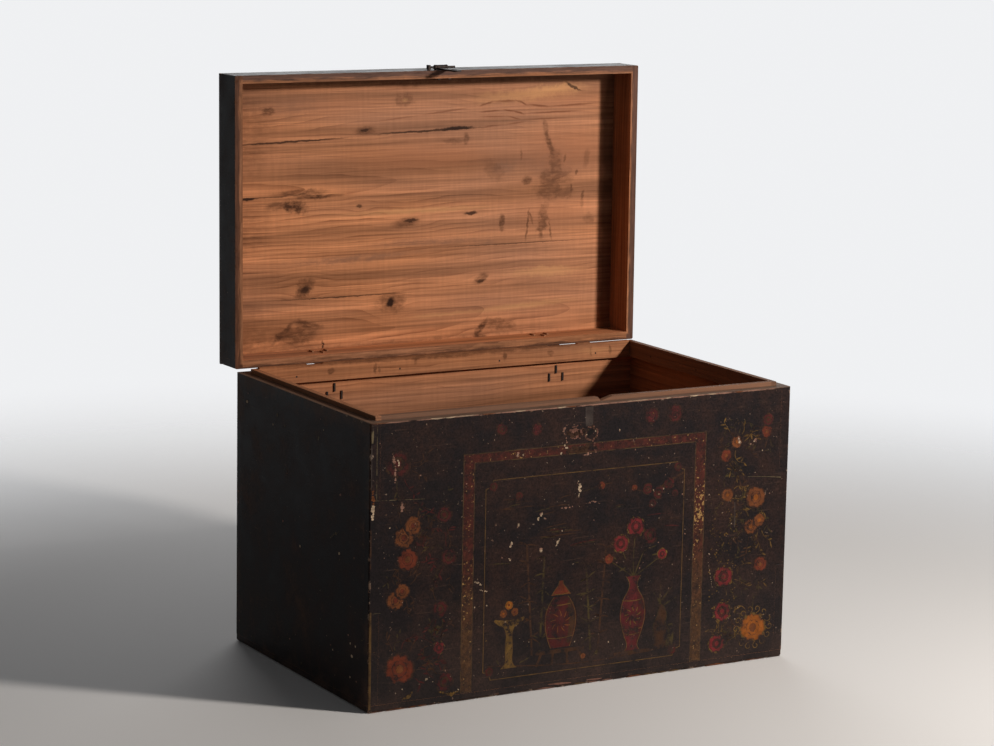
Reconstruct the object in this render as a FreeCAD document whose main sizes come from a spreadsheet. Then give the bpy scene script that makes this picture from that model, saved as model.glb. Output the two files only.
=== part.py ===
import FreeCAD, Part
import os
import re
from FreeCAD import Placement, Rotation, Vector

# Painted pine chest with a lift-up lid, in millimetres.
# The frame's origin is the middle of the footprint on the floor: +X right, +Y to the back, +Z up.
# The chest stands open, as it rests: the lid leans just past upright behind the back wall.
# Lid pieces are drawn closed, in a frame whose origin is the hinge pins' axis, and then turned open.

SIZES = {
    # Body
    "chest_width": (800, "outside, left to right"),
    "chest_depth": (501, "outside, front to back"),
    "body_height": (472, "floor to rim"),
    "wall_thick": (18, "boards of the four walls"),
    "bottom_thick": (12, "boards nailed under the walls"),
    "upper_board": (138, "height of the top tier of wall boards"),
    "lower_board": (152, "height of the bottom tier of wall boards"),
    "bottom_front_width": (170, "front bottom board"),
    "bottom_back_width": (160, "back bottom board"),
    "corner_round": (2.5, "worn upright corners of the body"),
    "bottom_round": (4, "worn lower edges of the bottom boards"),
    # Lip that locates the lid
    "lip_thick": (10, "battens inside the rim"),
    "lip_drop": (22, "batten below the rim"),
    "lip_rise": (7, "batten above the rim"),
    "back_lip_rise": (7.5, "back batten above the rim"),
    "notch_left": (28, "broken notch in the front batten, left end from the middle"),
    "notch_low": (34, "its deepest point from the middle"),
    "notch_right": (56, "its right end from the middle"),
    "notch_depth": (7, "depth of the notch"),
    # Lid
    "rail_thick": (14, "four rails of the lid"),
    "rail_height": (60, "depth of the lid inside"),
    "rail_finger": (20, "one finger of the rails' corner joints"),
    "top_thick": (15, "boards of the lid's top"),
    "back_top_width": (105, "top board at the hinges"),
    "third_top_width": (77, "next top board"),
    "second_top_width": (104, "next top board"),
    "top_round": (12, "rounded outer edges of the lid's top"),
    "lid_round": (3, "worn upright corners of the rails"),
    "lid_gap": (0.4, "rails to rim when shut"),
    "lid_open": (90.6, "degrees from shut to the open stop"),
    # Hinges
    "hinge_inset": (177, "chest's end to the hinge's middle"),
    "hinge_width": (46, "leaves, along the pin"),
    "hinge_drop": (0.9, "pin axis below the rim"),
    "lower_leaf": (58, "pin axis to the lower leaf's end"),
    "upper_leaf": (48, "pin axis to the upper leaf's end"),
    "leaf_thick": (2, "iron of the leaves"),
    "leaf_clip": (11, "clipped corners of the leaves"),
    "leaf_clear": (0.4, "knuckles and hasp clear of the wood"),
    "knuckle_length": (15, "middle knuckle"),
    "knuckle_gap": (0.4, "between knuckles"),
    "knuckle_wall": (2, "iron round the pin"),
    "pin_radius": (2, "hinge pins and hasp pin"),
    "pin_clear": (0.05, "running fit on the pins"),
    "pin_head_radius": (3.4, "peened ends of the hinge pins"),
    "pin_head_thick": (1.6, "peened ends of the hinge pins"),
    # Hinge nails, clinched on the inside
    "nail_side": (3.2, "square shank"),
    "nail_head": (8, "square head"),
    "nail_head_thick": (1.6, "head"),
    "clinch_length": (13, "bent tip"),
    "clinch_thick": (2.2, "bent tip"),
    "nail_spread": (14, "outer nails from the hinge's middle"),
    "lower_nail_near": (30, "lower leaf, middle nail below the pin axis"),
    "lower_nail_far": (44, "lower leaf, outer nails below the pin axis"),
    "upper_nail_near": (20, "upper leaf, middle nail above the pin axis"),
    "upper_nail_far": (34, "upper leaf, outer nails above the pin axis"),
    # Hasp on the lid's front rail
    "hasp_offset": (2, "hasp's middle, right of the chest's middle"),
    "hasp_rise": (16, "hasp pin above the rails' rim"),
    "hasp_length": (66, "pin axis to the hasp's tip"),
    "hasp_width": (16, "strap"),
    "hasp_thick": (3, "strap"),
    "hasp_tip_round": (7, "tip's corners"),
    "slot_width": (7, "slot over the lock's staple"),
    "slot_length": (20, "slot over the lock's staple"),
    "slot_end": (8, "iron left below the slot"),
    "hasp_pin_left": (22, "hasp pin, left of the hasp's middle"),
    "hasp_pin_right": (28, "hasp pin, right of the hasp's middle"),
    "hasp_pin_head": (8.4, "square head of the hasp pin"),
    "hasp_pin_head_thick": (4, "head of the hasp pin"),
    "staple_width": (3.6, "iron of the split staples"),
    "staple_wall": (2.2, "eye round the pin"),
    "staple_gap": (0.8, "hasp to each staple"),
    "staple_leg": (15, "staple's legs, bent over inside the rail"),
    # Pegs, pins and nails hidden in the wood
    "peg_side": (7, "square bamboo pegs in the board seams"),
    "peg_length": (44, "pegs"),
    "peg_pitch": (260, "between pegs along the width"),
    "side_peg_pitch": (240, "between pegs along the depth"),
    "pin_side": (4, "square bamboo pins in the corner joints"),
    "pin_length": (46, "pins in the body's corners"),
    "lid_pin_length": (36, "pins in the lid's corners"),
    "pin_set": (3, "pins and nails driven below the face and filled"),
    "sprig_side": (3, "headless square nails"),
    "bottom_nail_length": (42, "bottom boards to walls"),
    "bottom_nail_set": (2, "below the bottom face"),
    "bottom_nail_pitch": (200, "along the front and back walls"),
    "bottom_nail_side_pitch": (165, "along the side walls"),
    "lip_nail_length": (21, "battens to walls"),
    "lip_nail_pitch": (200, "along the front and back battens"),
    "lip_nail_side_pitch": (150, "along the side battens"),
    "top_nail_length": (36, "top boards to rails"),
    "top_nail_pitch": (200, "along the front and back rails"),
}

# Places that several pieces share
HALF_WIDTH = "(chest_width / 2)"
HALF_DEPTH = "(chest_depth / 2)"
INNER_HALF_WIDTH = "(chest_width / 2 - wall_thick)"
INNER_HALF_DEPTH = "(chest_depth / 2 - wall_thick)"
MIDDLE_BOARD = "(body_height - bottom_thick - lower_board - upper_board)"
KNUCKLE_RADIUS = "(pin_radius + pin_clear + knuckle_wall)"
BORE_RADIUS = "(pin_radius + pin_clear)"
HINGE_BACK = "(pin_radius + pin_clear + knuckle_wall + leaf_clear)"
HINGE_RELIEF = "(pin_radius + pin_clear + knuckle_wall + 2 * leaf_clear)"
AXIS_Y = f"({HALF_DEPTH} + {HINGE_BACK})"
AXIS_Z = "(body_height - hinge_drop)"
RIM = "(hinge_drop + lid_gap)"
RAIL_TOP = f"({RIM} + rail_height)"
LID_BACK = f"(-{HINGE_BACK})"
LID_FRONT = f"(-{HINGE_BACK} - chest_depth)"
EYE_RADIUS = "(pin_radius + pin_clear + staple_wall)"
HASP_PIN_Y = f"({LID_FRONT} - {EYE_RADIUS} - leaf_clear)"
HASP_PIN_Z = f"({RIM} + hasp_rise)"

# Two points closer than this are one place.
SAME_PLACE = 1e-4

doc = FreeCAD.newDocument("PaintedPineChest")
pieces = {}


def make_sheet():
    """Write the driving sizes: words in column A, the number with its alias in column B."""
    sheet = doc.addObject("Spreadsheet::Sheet", "Sizes")
    for row, (alias, (value, words)) in enumerate(SIZES.items(), 1):
        sheet.set(f"A{row}", words)
        sheet.set(f"B{row}", str(value))
        sheet.setAlias(f"B{row}", alias)
    doc.recompute()


def formula(text):
    """Turn the sizes named in a formula into references to the sheet."""

    def refer(match):
        word = match.group()
        return f"Sizes.{word}" if word in SIZES else word

    return re.sub(r"[a-z_]+", refer, text)


def bind(feature, **formulas):
    for prop, text in formulas.items():
        feature.setExpression(prop, formula(text))


def place(feature, low):
    for axis, text in zip("xyz", low):
        feature.setExpression(f"Placement.Base.{axis}", formula(text))


def shape_box(feature, low, size):
    """A box from its lowest corner and its size along X, Y and Z."""
    bind(feature, Length=size[0], Width=size[1], Height=size[2])
    place(feature, low)


def shape_rod(feature, low, radius, length):
    """A round rod along X from the middle of its left end."""
    feature.Placement = Placement(Vector(), Rotation(Vector(0, 1, 0), 90))
    bind(feature, Radius=radius, Height=length)
    place(feature, low)


def hang_on_hinges(piece):
    """Put a piece that was drawn shut in the lid's frame on the hinge axis and turn it open."""
    piece.Placement = Placement(Vector(), Rotation(Vector(-1, 0, 0), 90))
    piece.setExpression("Placement.Rotation.Angle", formula("lid_open"))
    piece.setExpression("Placement.Base.y", formula(AXIS_Y))
    piece.setExpression("Placement.Base.z", formula(AXIS_Z))


def new_piece(label, on_lid=False):
    piece = doc.addObject("PartDesign::Body", label)
    piece.Label = label
    if on_lid:
        hang_on_hinges(piece)
    pieces[label] = piece
    return piece


def add_box(piece, low, size):
    shape_box(piece.newObject("PartDesign::AdditiveBox", "Block"), low, size)


def cut_box(piece, low, size):
    shape_box(piece.newObject("PartDesign::SubtractiveBox", "Pocket"), low, size)


def add_rod(piece, low, radius, length):
    shape_rod(piece.newObject("PartDesign::AdditiveCylinder", "Rod"), low, radius, length)


def cut_rod(piece, low, radius, length):
    shape_rod(piece.newObject("PartDesign::SubtractiveCylinder", "Bore"), low, radius, length)


def outer_edges(shape, *corners):
    """Names of the edges that lie on both named sides of the shape's box, such as ("XMin", "ZMax")."""
    names = []
    for number, edge in enumerate(shape.Edges, 1):
        points = [vertex.Point for vertex in edge.Vertexes]
        for corner in corners:
            offsets = [
                getattr(point, side[0].lower()) - getattr(shape.BoundBox, side)
                for point in points
                for side in corner
            ]
            if max(map(abs, offsets)) < SAME_PLACE:
                names.append(f"Edge{number}")
    return names


def dress_edges(piece, kind, size, *corners):
    """Round or clip a piece's outer edges; kind is Fillet or Chamfer."""
    doc.recompute()
    base = piece.Tip
    dressed = piece.newObject(f"PartDesign::{kind}", kind)
    dressed.Base = (base, outer_edges(base.Shape, *corners))
    bind(dressed, **{"Radius" if kind == "Fillet" else "Size": size})


def group(label, solids, on_lid=False):
    """Several separate solids of one kind in one node."""
    piece = doc.addObject("Part::Compound", label)
    piece.Label = label
    piece.Links = solids
    if on_lid:
        hang_on_hinges(piece)
    pieces[label] = piece


def loose_box(low, size):
    solid = doc.addObject("Part::Box", "Stick")
    shape_box(solid, low, size)
    return solid


def drive(middle, along, start, length, side, *holders):
    """A square peg along one axis, and its pocket in each piece that holds it. start is its lowest end."""
    low = [f"{text} - {side} / 2" for text in middle]
    size = [side, side, side]
    low["xyz".index(along)] = start
    size["xyz".index(along)] = length
    for holder in holders:
        cut_box(pieces[holder], low, size)
    return loose_box(low, size)


# Walls: three tiers of boards, finger-jointed at the corners.
# The side boards of the top and bottom tiers run through to the front and back faces,
# and the front and back boards of the middle tier run through to the side faces.

TIERS = {
    "lower": ("bottom_thick", "lower_board"),
    "middle": ("(bottom_thick + lower_board)", MIDDLE_BOARD),
    "upper": ("(body_height - upper_board)", "upper_board"),
}


def make_walls():
    for tier, (floor, height) in TIERS.items():
        sides_through = tier != "middle"
        half_run = INNER_HALF_WIDTH if sides_through else HALF_WIDTH
        for wall, low_y, face in (("front", f"-{HALF_DEPTH}", "YMin"), ("back", INNER_HALF_DEPTH, "YMax")):
            board = new_piece(f"{wall}_{tier}_board")
            add_box(board, (f"-{half_run}", low_y, floor), (f"2 * {half_run}", "wall_thick", height))
            if not sides_through:
                dress_edges(board, "Fillet", "corner_round", ("XMin", face), ("XMax", face))
        half_run = HALF_DEPTH if sides_through else INNER_HALF_DEPTH
        for wall, low_x, face in (("left", f"-{HALF_WIDTH}", "XMin"), ("right", INNER_HALF_WIDTH, "XMax")):
            board = new_piece(f"{wall}_{tier}_board")
            add_box(board, (low_x, f"-{half_run}", floor), ("wall_thick", f"2 * {half_run}", height))
            if sides_through:
                dress_edges(board, "Fillet", "corner_round", (face, "YMin"), (face, "YMax"))


def make_bottom():
    middle_width = "(chest_depth - bottom_front_width - bottom_back_width)"
    boards = (
        ("bottom_front_board", f"-{HALF_DEPTH}", "bottom_front_width", ["YMin"]),
        ("bottom_middle_board", f"-{HALF_DEPTH} + bottom_front_width", middle_width, []),
        ("bottom_back_board", f"{HALF_DEPTH} - bottom_back_width", "bottom_back_width", ["YMax"]),
    )
    for label, low_y, width, outer_sides in boards:
        board = new_piece(label)
        add_box(board, (f"-{HALF_WIDTH}", low_y, "0"), ("chest_width", width, "bottom_thick"))
        corners = [("XMin", "ZMin"), ("XMax", "ZMin")]
        for side in outer_sides:
            corners += [(side, "ZMin"), ("XMin", side), ("XMax", side)]
        dress_edges(board, "Fillet", "bottom_round", *corners)


def make_lip():
    """Battens inside the rim that stand above it and keep the shut lid in place."""
    floor = "(body_height - lip_drop)"
    starts = (("lip_left", f"-{INNER_HALF_WIDTH}"), ("lip_right", f"{INNER_HALF_WIDTH} - lip_thick"))
    for label, low_x in starts:
        size = ("lip_thick", f"2 * {INNER_HALF_DEPTH}", "lip_drop + lip_rise")
        add_box(new_piece(label), (low_x, f"-{INNER_HALF_DEPTH}", floor), size)
    half_run = f"({INNER_HALF_WIDTH} - lip_thick)"
    front = new_piece("lip_front")
    low = (f"-{half_run}", f"-{INNER_HALF_DEPTH}", floor)
    add_box(front, low, (f"2 * {half_run}", "lip_thick", "lip_drop + lip_rise"))
    back = new_piece("lip_back")
    low = (f"-{half_run}", f"{INNER_HALF_DEPTH} - lip_thick", floor)
    add_box(back, low, (f"2 * {half_run}", "lip_thick", "lip_drop + back_lip_rise"))
    # The lock's pull broke a notch out of the front batten's top.
    notch = front.newObject("PartDesign::SubtractiveWedge", "Notch")
    notch.Placement = Placement(Vector(), Rotation(Vector(1, 0, 0), -90))
    bind(notch, Xmin="notch_left", Xmax="notch_right", X2min="notch_low", X2max="notch_low")
    bind(notch, Ymin="0", Ymax="notch_depth", Zmin="0", Zmax="lip_thick", Z2min="0", Z2max="lip_thick")
    place(notch, ("0", f"-{INNER_HALF_DEPTH}", "body_height + lip_rise"))


# Lid: four rails finger-jointed at the corners, with four boards laid on them.
# Each corner has three fingers: the side rails' at the rim and the top, the front or back rail's between.

TOP_BOARDS = {
    "lid_back_board": (f"{LID_BACK} - back_top_width", "back_top_width", ["YMax"]),
    "lid_third_board": (f"{LID_BACK} - back_top_width - third_top_width", "third_top_width", []),
    "lid_second_board": (
        f"{LID_BACK} - back_top_width - third_top_width - second_top_width",
        "second_top_width",
        [],
    ),
    "lid_front_board": (
        LID_FRONT,
        "(chest_depth - back_top_width - third_top_width - second_top_width)",
        ["YMin"],
    ),
}


def make_lid_rails():
    ends_x = (f"-{HALF_WIDTH}", f"{HALF_WIDTH} - rail_thick")
    ends_y = (LID_FRONT, f"{LID_BACK} - rail_thick")
    upper_finger = f"{RIM} + 2 * rail_finger"
    upper_height = "rail_height - 2 * rail_finger"
    for label, low_y, face in (("lid_front_rail", ends_y[0], "YMin"), ("lid_back_rail", ends_y[1], "YMax")):
        rail = new_piece(label, on_lid=True)
        add_box(rail, (ends_x[0], low_y, RIM), ("chest_width", "rail_thick", "rail_height"))
        for low_x in ends_x:
            cut_box(rail, (low_x, low_y, RIM), ("rail_thick", "rail_thick", "rail_finger"))
            cut_box(rail, (low_x, low_y, upper_finger), ("rail_thick", "rail_thick", upper_height))
        dress_edges(rail, "Fillet", "lid_round", ("XMin", face), ("XMax", face))
    for label, low_x, face in (("lid_left_rail", ends_x[0], "XMin"), ("lid_right_rail", ends_x[1], "XMax")):
        rail = new_piece(label, on_lid=True)
        add_box(rail, (low_x, LID_FRONT, RIM), ("rail_thick", "chest_depth", "rail_height"))
        for low_y in ends_y:
            low = (low_x, low_y, f"{RIM} + rail_finger")
            cut_box(rail, low, ("rail_thick", "rail_thick", "rail_finger"))
        dress_edges(rail, "Fillet", "lid_round", (face, "YMin"), (face, "YMax"))


def make_lid_top():
    for label, (low_y, width, outer_sides) in TOP_BOARDS.items():
        board = new_piece(label, on_lid=True)
        add_box(board, (f"-{HALF_WIDTH}", low_y, RAIL_TOP), ("chest_width", width, "top_thick"))
        corners = [("XMin", "ZMax"), ("XMax", "ZMax")] + [(side, "ZMax") for side in outer_sides]
        dress_edges(board, "Fillet", "top_round", *corners)


# Hinges: two iron leaves on a pin, nailed to the outside of the back and clinched inside.

HINGES = {
    "left": f"(-{HALF_WIDTH} + hinge_inset)",
    "right": f"({HALF_WIDTH} - hinge_inset)",
}
NAIL_PLACES = (("-nail_spread", "far"), ("0", "near"), ("nail_spread", "far"))


def make_lower_leaf(side, middle):
    """Leaf on the back wall, with the two outer knuckles."""
    leaf = new_piece(f"hinge_{side}_lower_leaf")
    left = f"{middle} - hinge_width / 2"
    add_box(leaf, (left, HALF_DEPTH, f"{AXIS_Z} - lower_leaf"), ("hinge_width", "leaf_thick", "lower_leaf"))
    dress_edges(leaf, "Chamfer", "leaf_clip", ("XMin", "ZMin"), ("XMax", "ZMin"))
    add_rod(leaf, (left, AXIS_Y, AXIS_Z), KNUCKLE_RADIUS, "hinge_width")
    low = (f"{middle} - knuckle_length / 2 - knuckle_gap", HALF_DEPTH, f"{AXIS_Z} - {HINGE_RELIEF}")
    cut_box(leaf, low, ("knuckle_length + 2 * knuckle_gap", f"2 * {HINGE_BACK}", f"2 * {HINGE_RELIEF}"))
    cut_rod(leaf, (left, AXIS_Y, AXIS_Z), BORE_RADIUS, "hinge_width")


def make_upper_leaf(side, middle):
    """Leaf on the lid's back rail, with the middle knuckle."""
    leaf = new_piece(f"hinge_{side}_upper_leaf", on_lid=True)
    left = f"{middle} - hinge_width / 2"
    add_box(leaf, (left, LID_BACK, "0"), ("hinge_width", "leaf_thick", "upper_leaf"))
    dress_edges(leaf, "Chamfer", "leaf_clip", ("XMin", "ZMax"), ("XMax", "ZMax"))
    add_rod(leaf, (left, "0", "0"), KNUCKLE_RADIUS, "hinge_width")
    outer = "(hinge_width - knuckle_length) / 2"
    for low_x in (left, f"{middle} + knuckle_length / 2"):
        low = (low_x, LID_BACK, f"-{HINGE_RELIEF}")
        cut_box(leaf, low, (outer, f"2 * {HINGE_BACK}", f"2 * {HINGE_RELIEF}"))
    cut_rod(leaf, (left, "0", "0"), BORE_RADIUS, "hinge_width")


def make_hinge_pin(side, middle):
    pin = new_piece(f"hinge_{side}_pin")
    left = f"{middle} - hinge_width / 2"
    add_rod(pin, (left, AXIS_Y, AXIS_Z), "pin_radius", "hinge_width")
    for low_x in (f"{left} - pin_head_thick", f"{left} + hinge_width"):
        add_rod(pin, (low_x, AXIS_Y, AXIS_Z), "pin_head_radius", "pin_head_thick")


def make_clinched_nail(x, z, face, thick, tip_side, *holders):
    """A forged nail through a leaf and the wood behind it. Its tip is bent over on the inner face.

    face is the wood's outer face, thick the wood's thickness, and tip_side the way the tip is bent.
    """
    shank_low = (f"{x} - nail_side / 2", f"{face} - {thick} - clinch_thick", f"{z} - nail_side / 2")
    shank_size = ("nail_side", f"{thick} + clinch_thick + leaf_thick", "nail_side")
    for holder in holders:
        cut_box(pieces[holder], shank_low, shank_size)
    head_low = (f"{x} - nail_head / 2", f"{face} + leaf_thick", f"{z} - nail_head / 2")
    tip_z = f"{z} - clinch_length" if tip_side == "down" else z
    tip_low = (f"{x} - nail_side / 2", f"{face} - {thick} - clinch_thick", tip_z)
    nail = doc.addObject("Part::MultiFuse", "Nail")
    nail.Shapes = [
        loose_box(shank_low, shank_size),
        loose_box(head_low, ("nail_head", "nail_head_thick", "nail_head")),
        loose_box(tip_low, ("nail_side", "clinch_thick", "clinch_length")),
    ]
    nail.Refine = True
    return nail


def make_hinge_nails(side, middle):
    lower = []
    upper = []
    for offset, row in NAIL_PLACES:
        x = f"({middle} + {offset})"
        z = f"({AXIS_Z} - lower_nail_{row})"
        holders = (f"hinge_{side}_lower_leaf", "back_upper_board")
        lower.append(make_clinched_nail(x, z, HALF_DEPTH, "wall_thick", "down", *holders))
        holders = (f"hinge_{side}_upper_leaf", "lid_back_rail")
        upper.append(make_clinched_nail(x, f"upper_nail_{row}", LID_BACK, "rail_thick", "up", *holders))
    group(f"hinge_{side}_lower_nails", lower)
    group(f"hinge_{side}_upper_nails", upper, on_lid=True)


# Hasp: a forged strap that swings on a pin held by two split staples in the lid's front rail.


def make_staple(side, middle):
    staple = new_piece(f"hasp_staple_{side}", on_lid=True)
    left = f"{middle} - staple_width / 2"
    shank_low = (left, HASP_PIN_Y, f"{HASP_PIN_Z} - staple_width / 2")
    reach = f"{LID_FRONT} + rail_thick - {HASP_PIN_Y}"
    shank_size = ("staple_width", f"{reach} + clinch_thick", "staple_width")
    add_rod(staple, (left, HASP_PIN_Y, HASP_PIN_Z), EYE_RADIUS, "staple_width")
    add_box(staple, shank_low, shank_size)
    leg_low = (left, f"{LID_FRONT} + rail_thick", f"{HASP_PIN_Z} - staple_leg")
    add_box(staple, leg_low, ("staple_width", "clinch_thick", "2 * staple_leg"))
    cut_rod(staple, (left, HASP_PIN_Y, HASP_PIN_Z), BORE_RADIUS, "staple_width")
    hole_low = (left, LID_FRONT, f"{HASP_PIN_Z} - staple_width / 2")
    cut_box(pieces["lid_front_rail"], hole_low, ("staple_width", "rail_thick", "staple_width"))


def make_hasp():
    staple_offset = "(hasp_width / 2 + staple_gap + staple_width / 2)"
    make_staple("left", f"(hasp_offset - {staple_offset})")
    make_staple("right", f"(hasp_offset + {staple_offset})")

    pin = new_piece("hasp_pin", on_lid=True)
    left = "hasp_offset - hasp_pin_left"
    add_rod(pin, (left, HASP_PIN_Y, HASP_PIN_Z), "pin_radius", "hasp_pin_left + hasp_pin_right")
    head_low = (
        f"{left} - hasp_pin_head_thick",
        f"{HASP_PIN_Y} - hasp_pin_head / 2",
        f"{HASP_PIN_Z} - hasp_pin_head / 2",
    )
    add_box(pin, head_low, ("hasp_pin_head_thick", "hasp_pin_head", "hasp_pin_head"))

    hasp = new_piece("hasp", on_lid=True)
    left = "hasp_offset - hasp_width / 2"
    back = f"{LID_FRONT} - leaf_clear - hasp_thick"
    tip = f"{HASP_PIN_Z} - hasp_length"
    add_box(hasp, (left, back, tip), ("hasp_width", "hasp_thick", "hasp_length"))
    dress_edges(hasp, "Fillet", "hasp_tip_round", ("XMin", "ZMin"), ("XMax", "ZMin"))
    add_rod(hasp, (left, HASP_PIN_Y, HASP_PIN_Z), KNUCKLE_RADIUS, "hasp_width")
    cut_rod(hasp, (left, HASP_PIN_Y, HASP_PIN_Z), BORE_RADIUS, "hasp_width")
    slot_low = ("hasp_offset - slot_width / 2", back, f"{tip} + slot_end")
    cut_box(hasp, slot_low, ("slot_width", "hasp_thick", "slot_length"))


# Pegs, pins and nails: hidden in the wood, each in pockets of its own size.


def make_wall_pegs():
    """Bamboo pegs across the seams between the tiers."""
    seams = (("lower", "middle", TIERS["middle"][0]), ("middle", "upper", TIERS["upper"][0]))
    mid_y = f"({HALF_DEPTH} - wall_thick / 2)"
    mid_x = f"({HALF_WIDTH} - wall_thick / 2)"
    places = {
        "front": [(f"{step} * peg_pitch", f"-{mid_y}") for step in (-1, 0, 1)],
        "back": [(f"{step} * peg_pitch", mid_y) for step in (-1, 0, 1)],
        "left": [(f"-{mid_x}", f"{step} * side_peg_pitch / 2") for step in (-1, 1)],
        "right": [(mid_x, f"{step} * side_peg_pitch / 2") for step in (-1, 1)],
    }
    for wall, spots in places.items():
        pegs = []
        for below, above, seam in seams:
            holders = (f"{wall}_{below}_board", f"{wall}_{above}_board")
            for x, y in spots:
                start = f"{seam} - peg_length / 2"
                pegs.append(drive((x, y, seam), "z", start, "peg_length", "peg_side", *holders))
        group(f"{wall}_pegs", pegs)


def make_corner_pins():
    """Bamboo pins through the finger joints: two in each tier at each corner."""
    mid_y = f"({HALF_DEPTH} - wall_thick / 2)"
    mid_x = f"({HALF_WIDTH} - wall_thick / 2)"
    walls = (
        ("front", f"-{mid_y}", f"-{HALF_DEPTH} + pin_set"),
        ("back", mid_y, f"{HALF_DEPTH} - pin_set - pin_length"),
    )
    sides = (
        ("left", f"-{mid_x}", f"-{HALF_WIDTH} + pin_set"),
        ("right", mid_x, f"{HALF_WIDTH} - pin_set - pin_length"),
    )
    pins = []
    for tier, (floor, height) in TIERS.items():
        for share in (1, 3):
            z = f"({floor} + {share} * {height} / 4)"
            for wall, y, start_y in walls:
                for side, x, start_x in sides:
                    # The pin goes in through the board that runs through the corner.
                    along, start = ("y", start_y) if tier == "middle" else ("x", start_x)
                    holders = (f"{wall}_{tier}_board", f"{side}_{tier}_board")
                    pins.append(drive((x, y, z), along, start, "pin_length", "pin_side", *holders))
    group("corner_pins", pins)


def make_bottom_fastenings():
    mid_y = f"({HALF_DEPTH} - wall_thick / 2)"
    mid_x = f"({HALF_WIDTH} - wall_thick / 2)"
    nails = []
    for wall, y in (("front", f"-{mid_y}"), ("back", mid_y)):
        for share in (-3, -1, 1, 3):
            holders = (f"bottom_{wall}_board", f"{wall}_lower_board")
            middle = (f"{share} * bottom_nail_pitch / 2", y, "0")
            nails.append(drive(middle, "z", "bottom_nail_set", "bottom_nail_length", "sprig_side", *holders))
    for wall, x in (("left", f"-{mid_x}"), ("right", mid_x)):
        for board, step in (("front", -1), ("middle", 0), ("back", 1)):
            holders = (f"bottom_{board}_board", f"{wall}_lower_board")
            middle = (x, f"{step} * bottom_nail_side_pitch", "0")
            nails.append(drive(middle, "z", "bottom_nail_set", "bottom_nail_length", "sprig_side", *holders))
    group("bottom_nails", nails)

    pegs = []
    seams = (
        ("front", "middle", f"(-{HALF_DEPTH} + bottom_front_width)"),
        ("middle", "back", f"({HALF_DEPTH} - bottom_back_width)"),
    )
    for before, after, y in seams:
        for step in (-1, 0, 1):
            holders = (f"bottom_{before}_board", f"bottom_{after}_board")
            middle = (f"{step} * peg_pitch", y, "bottom_thick / 2")
            pegs.append(drive(middle, "y", f"{y} - peg_length / 2", "peg_length", "peg_side", *holders))
    group("bottom_pegs", pegs)


def make_lip_nails():
    z = "(body_height - lip_drop / 2)"
    inner_y = f"({INNER_HALF_DEPTH} - lip_thick)"
    inner_x = f"({INNER_HALF_WIDTH} - lip_thick)"
    nails = []
    for share in (-3, -1, 1, 3):
        x = f"{share} * lip_nail_pitch / 2"
        for wall, start in (("front", f"-{inner_y} - lip_nail_length"), ("back", inner_y)):
            holders = (f"lip_{wall}", f"{wall}_upper_board")
            nails.append(drive((x, "0", z), "y", start, "lip_nail_length", "sprig_side", *holders))
    for step in (-1, 0, 1):
        y = f"{step} * lip_nail_side_pitch"
        for wall, start in (("left", f"-{inner_x} - lip_nail_length"), ("right", inner_x)):
            holders = (f"lip_{wall}", f"{wall}_upper_board")
            nails.append(drive(("0", y, z), "x", start, "lip_nail_length", "sprig_side", *holders))
    group("lip_nails", nails)


def make_lid_fastenings():
    start = f"{RAIL_TOP} + top_thick - pin_set - top_nail_length"
    nails = []
    rails = (("front", f"({LID_FRONT} + rail_thick / 2)"), ("back", f"({LID_BACK} - rail_thick / 2)"))
    for rail, y in rails:
        for share in (-3, -1, 1, 3):
            holders = (f"lid_{rail}_board", f"lid_{rail}_rail")
            middle = (f"{share} * top_nail_pitch / 2", y, "0")
            nails.append(drive(middle, "z", start, "top_nail_length", "sprig_side", *holders))
    for rail, sign in (("left", "-"), ("right", "")):
        for board, (low_y, width, _) in TOP_BOARDS.items():
            middle = (f"{sign}({HALF_WIDTH} - rail_thick / 2)", f"({low_y} + {width} / 2)", "0")
            holders = (board, f"lid_{rail}_rail")
            nails.append(drive(middle, "z", start, "top_nail_length", "sprig_side", *holders))
    group("lid_nails", nails, on_lid=True)

    pegs = []
    names = list(TOP_BOARDS)
    for behind, before in zip(names, names[1:]):
        seam = TOP_BOARDS[behind][0]
        for step in (-1, 0, 1):
            middle = (f"{step} * peg_pitch", f"({seam})", f"{RAIL_TOP} + top_thick / 2")
            peg_start = f"{seam} - peg_length / 2"
            pegs.append(drive(middle, "y", peg_start, "peg_length", "peg_side", behind, before))
    group("lid_pegs", pegs, on_lid=True)


def make_lid_corner_pins():
    """One bamboo pin through each finger of the lid's corners."""
    mid_x = f"({HALF_WIDTH} - rail_thick / 2)"
    last_finger = f"({RIM} + rail_finger + rail_height / 2)"
    pins = []
    for wall, y, face in (
        ("front", f"({LID_FRONT} + rail_thick / 2)", f"{LID_FRONT} + pin_set"),
        ("back", f"({LID_BACK} - rail_thick / 2)", f"{LID_BACK} - pin_set - lid_pin_length"),
    ):
        for side, x, end in (
            ("left", f"-{mid_x}", f"-{HALF_WIDTH} + pin_set"),
            ("right", mid_x, f"{HALF_WIDTH} - pin_set - lid_pin_length"),
        ):
            holders = (f"lid_{wall}_rail", f"lid_{side}_rail")
            for z in (f"({RIM} + rail_finger / 2)", last_finger):
                pins.append(drive((x, y, z), "x", end, "lid_pin_length", "pin_side", *holders))
            z = f"({RIM} + 3 * rail_finger / 2)"
            pins.append(drive((x, y, z), "y", face, "lid_pin_length", "pin_side", *holders))
    group("lid_corner_pins", pins, on_lid=True)


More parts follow.
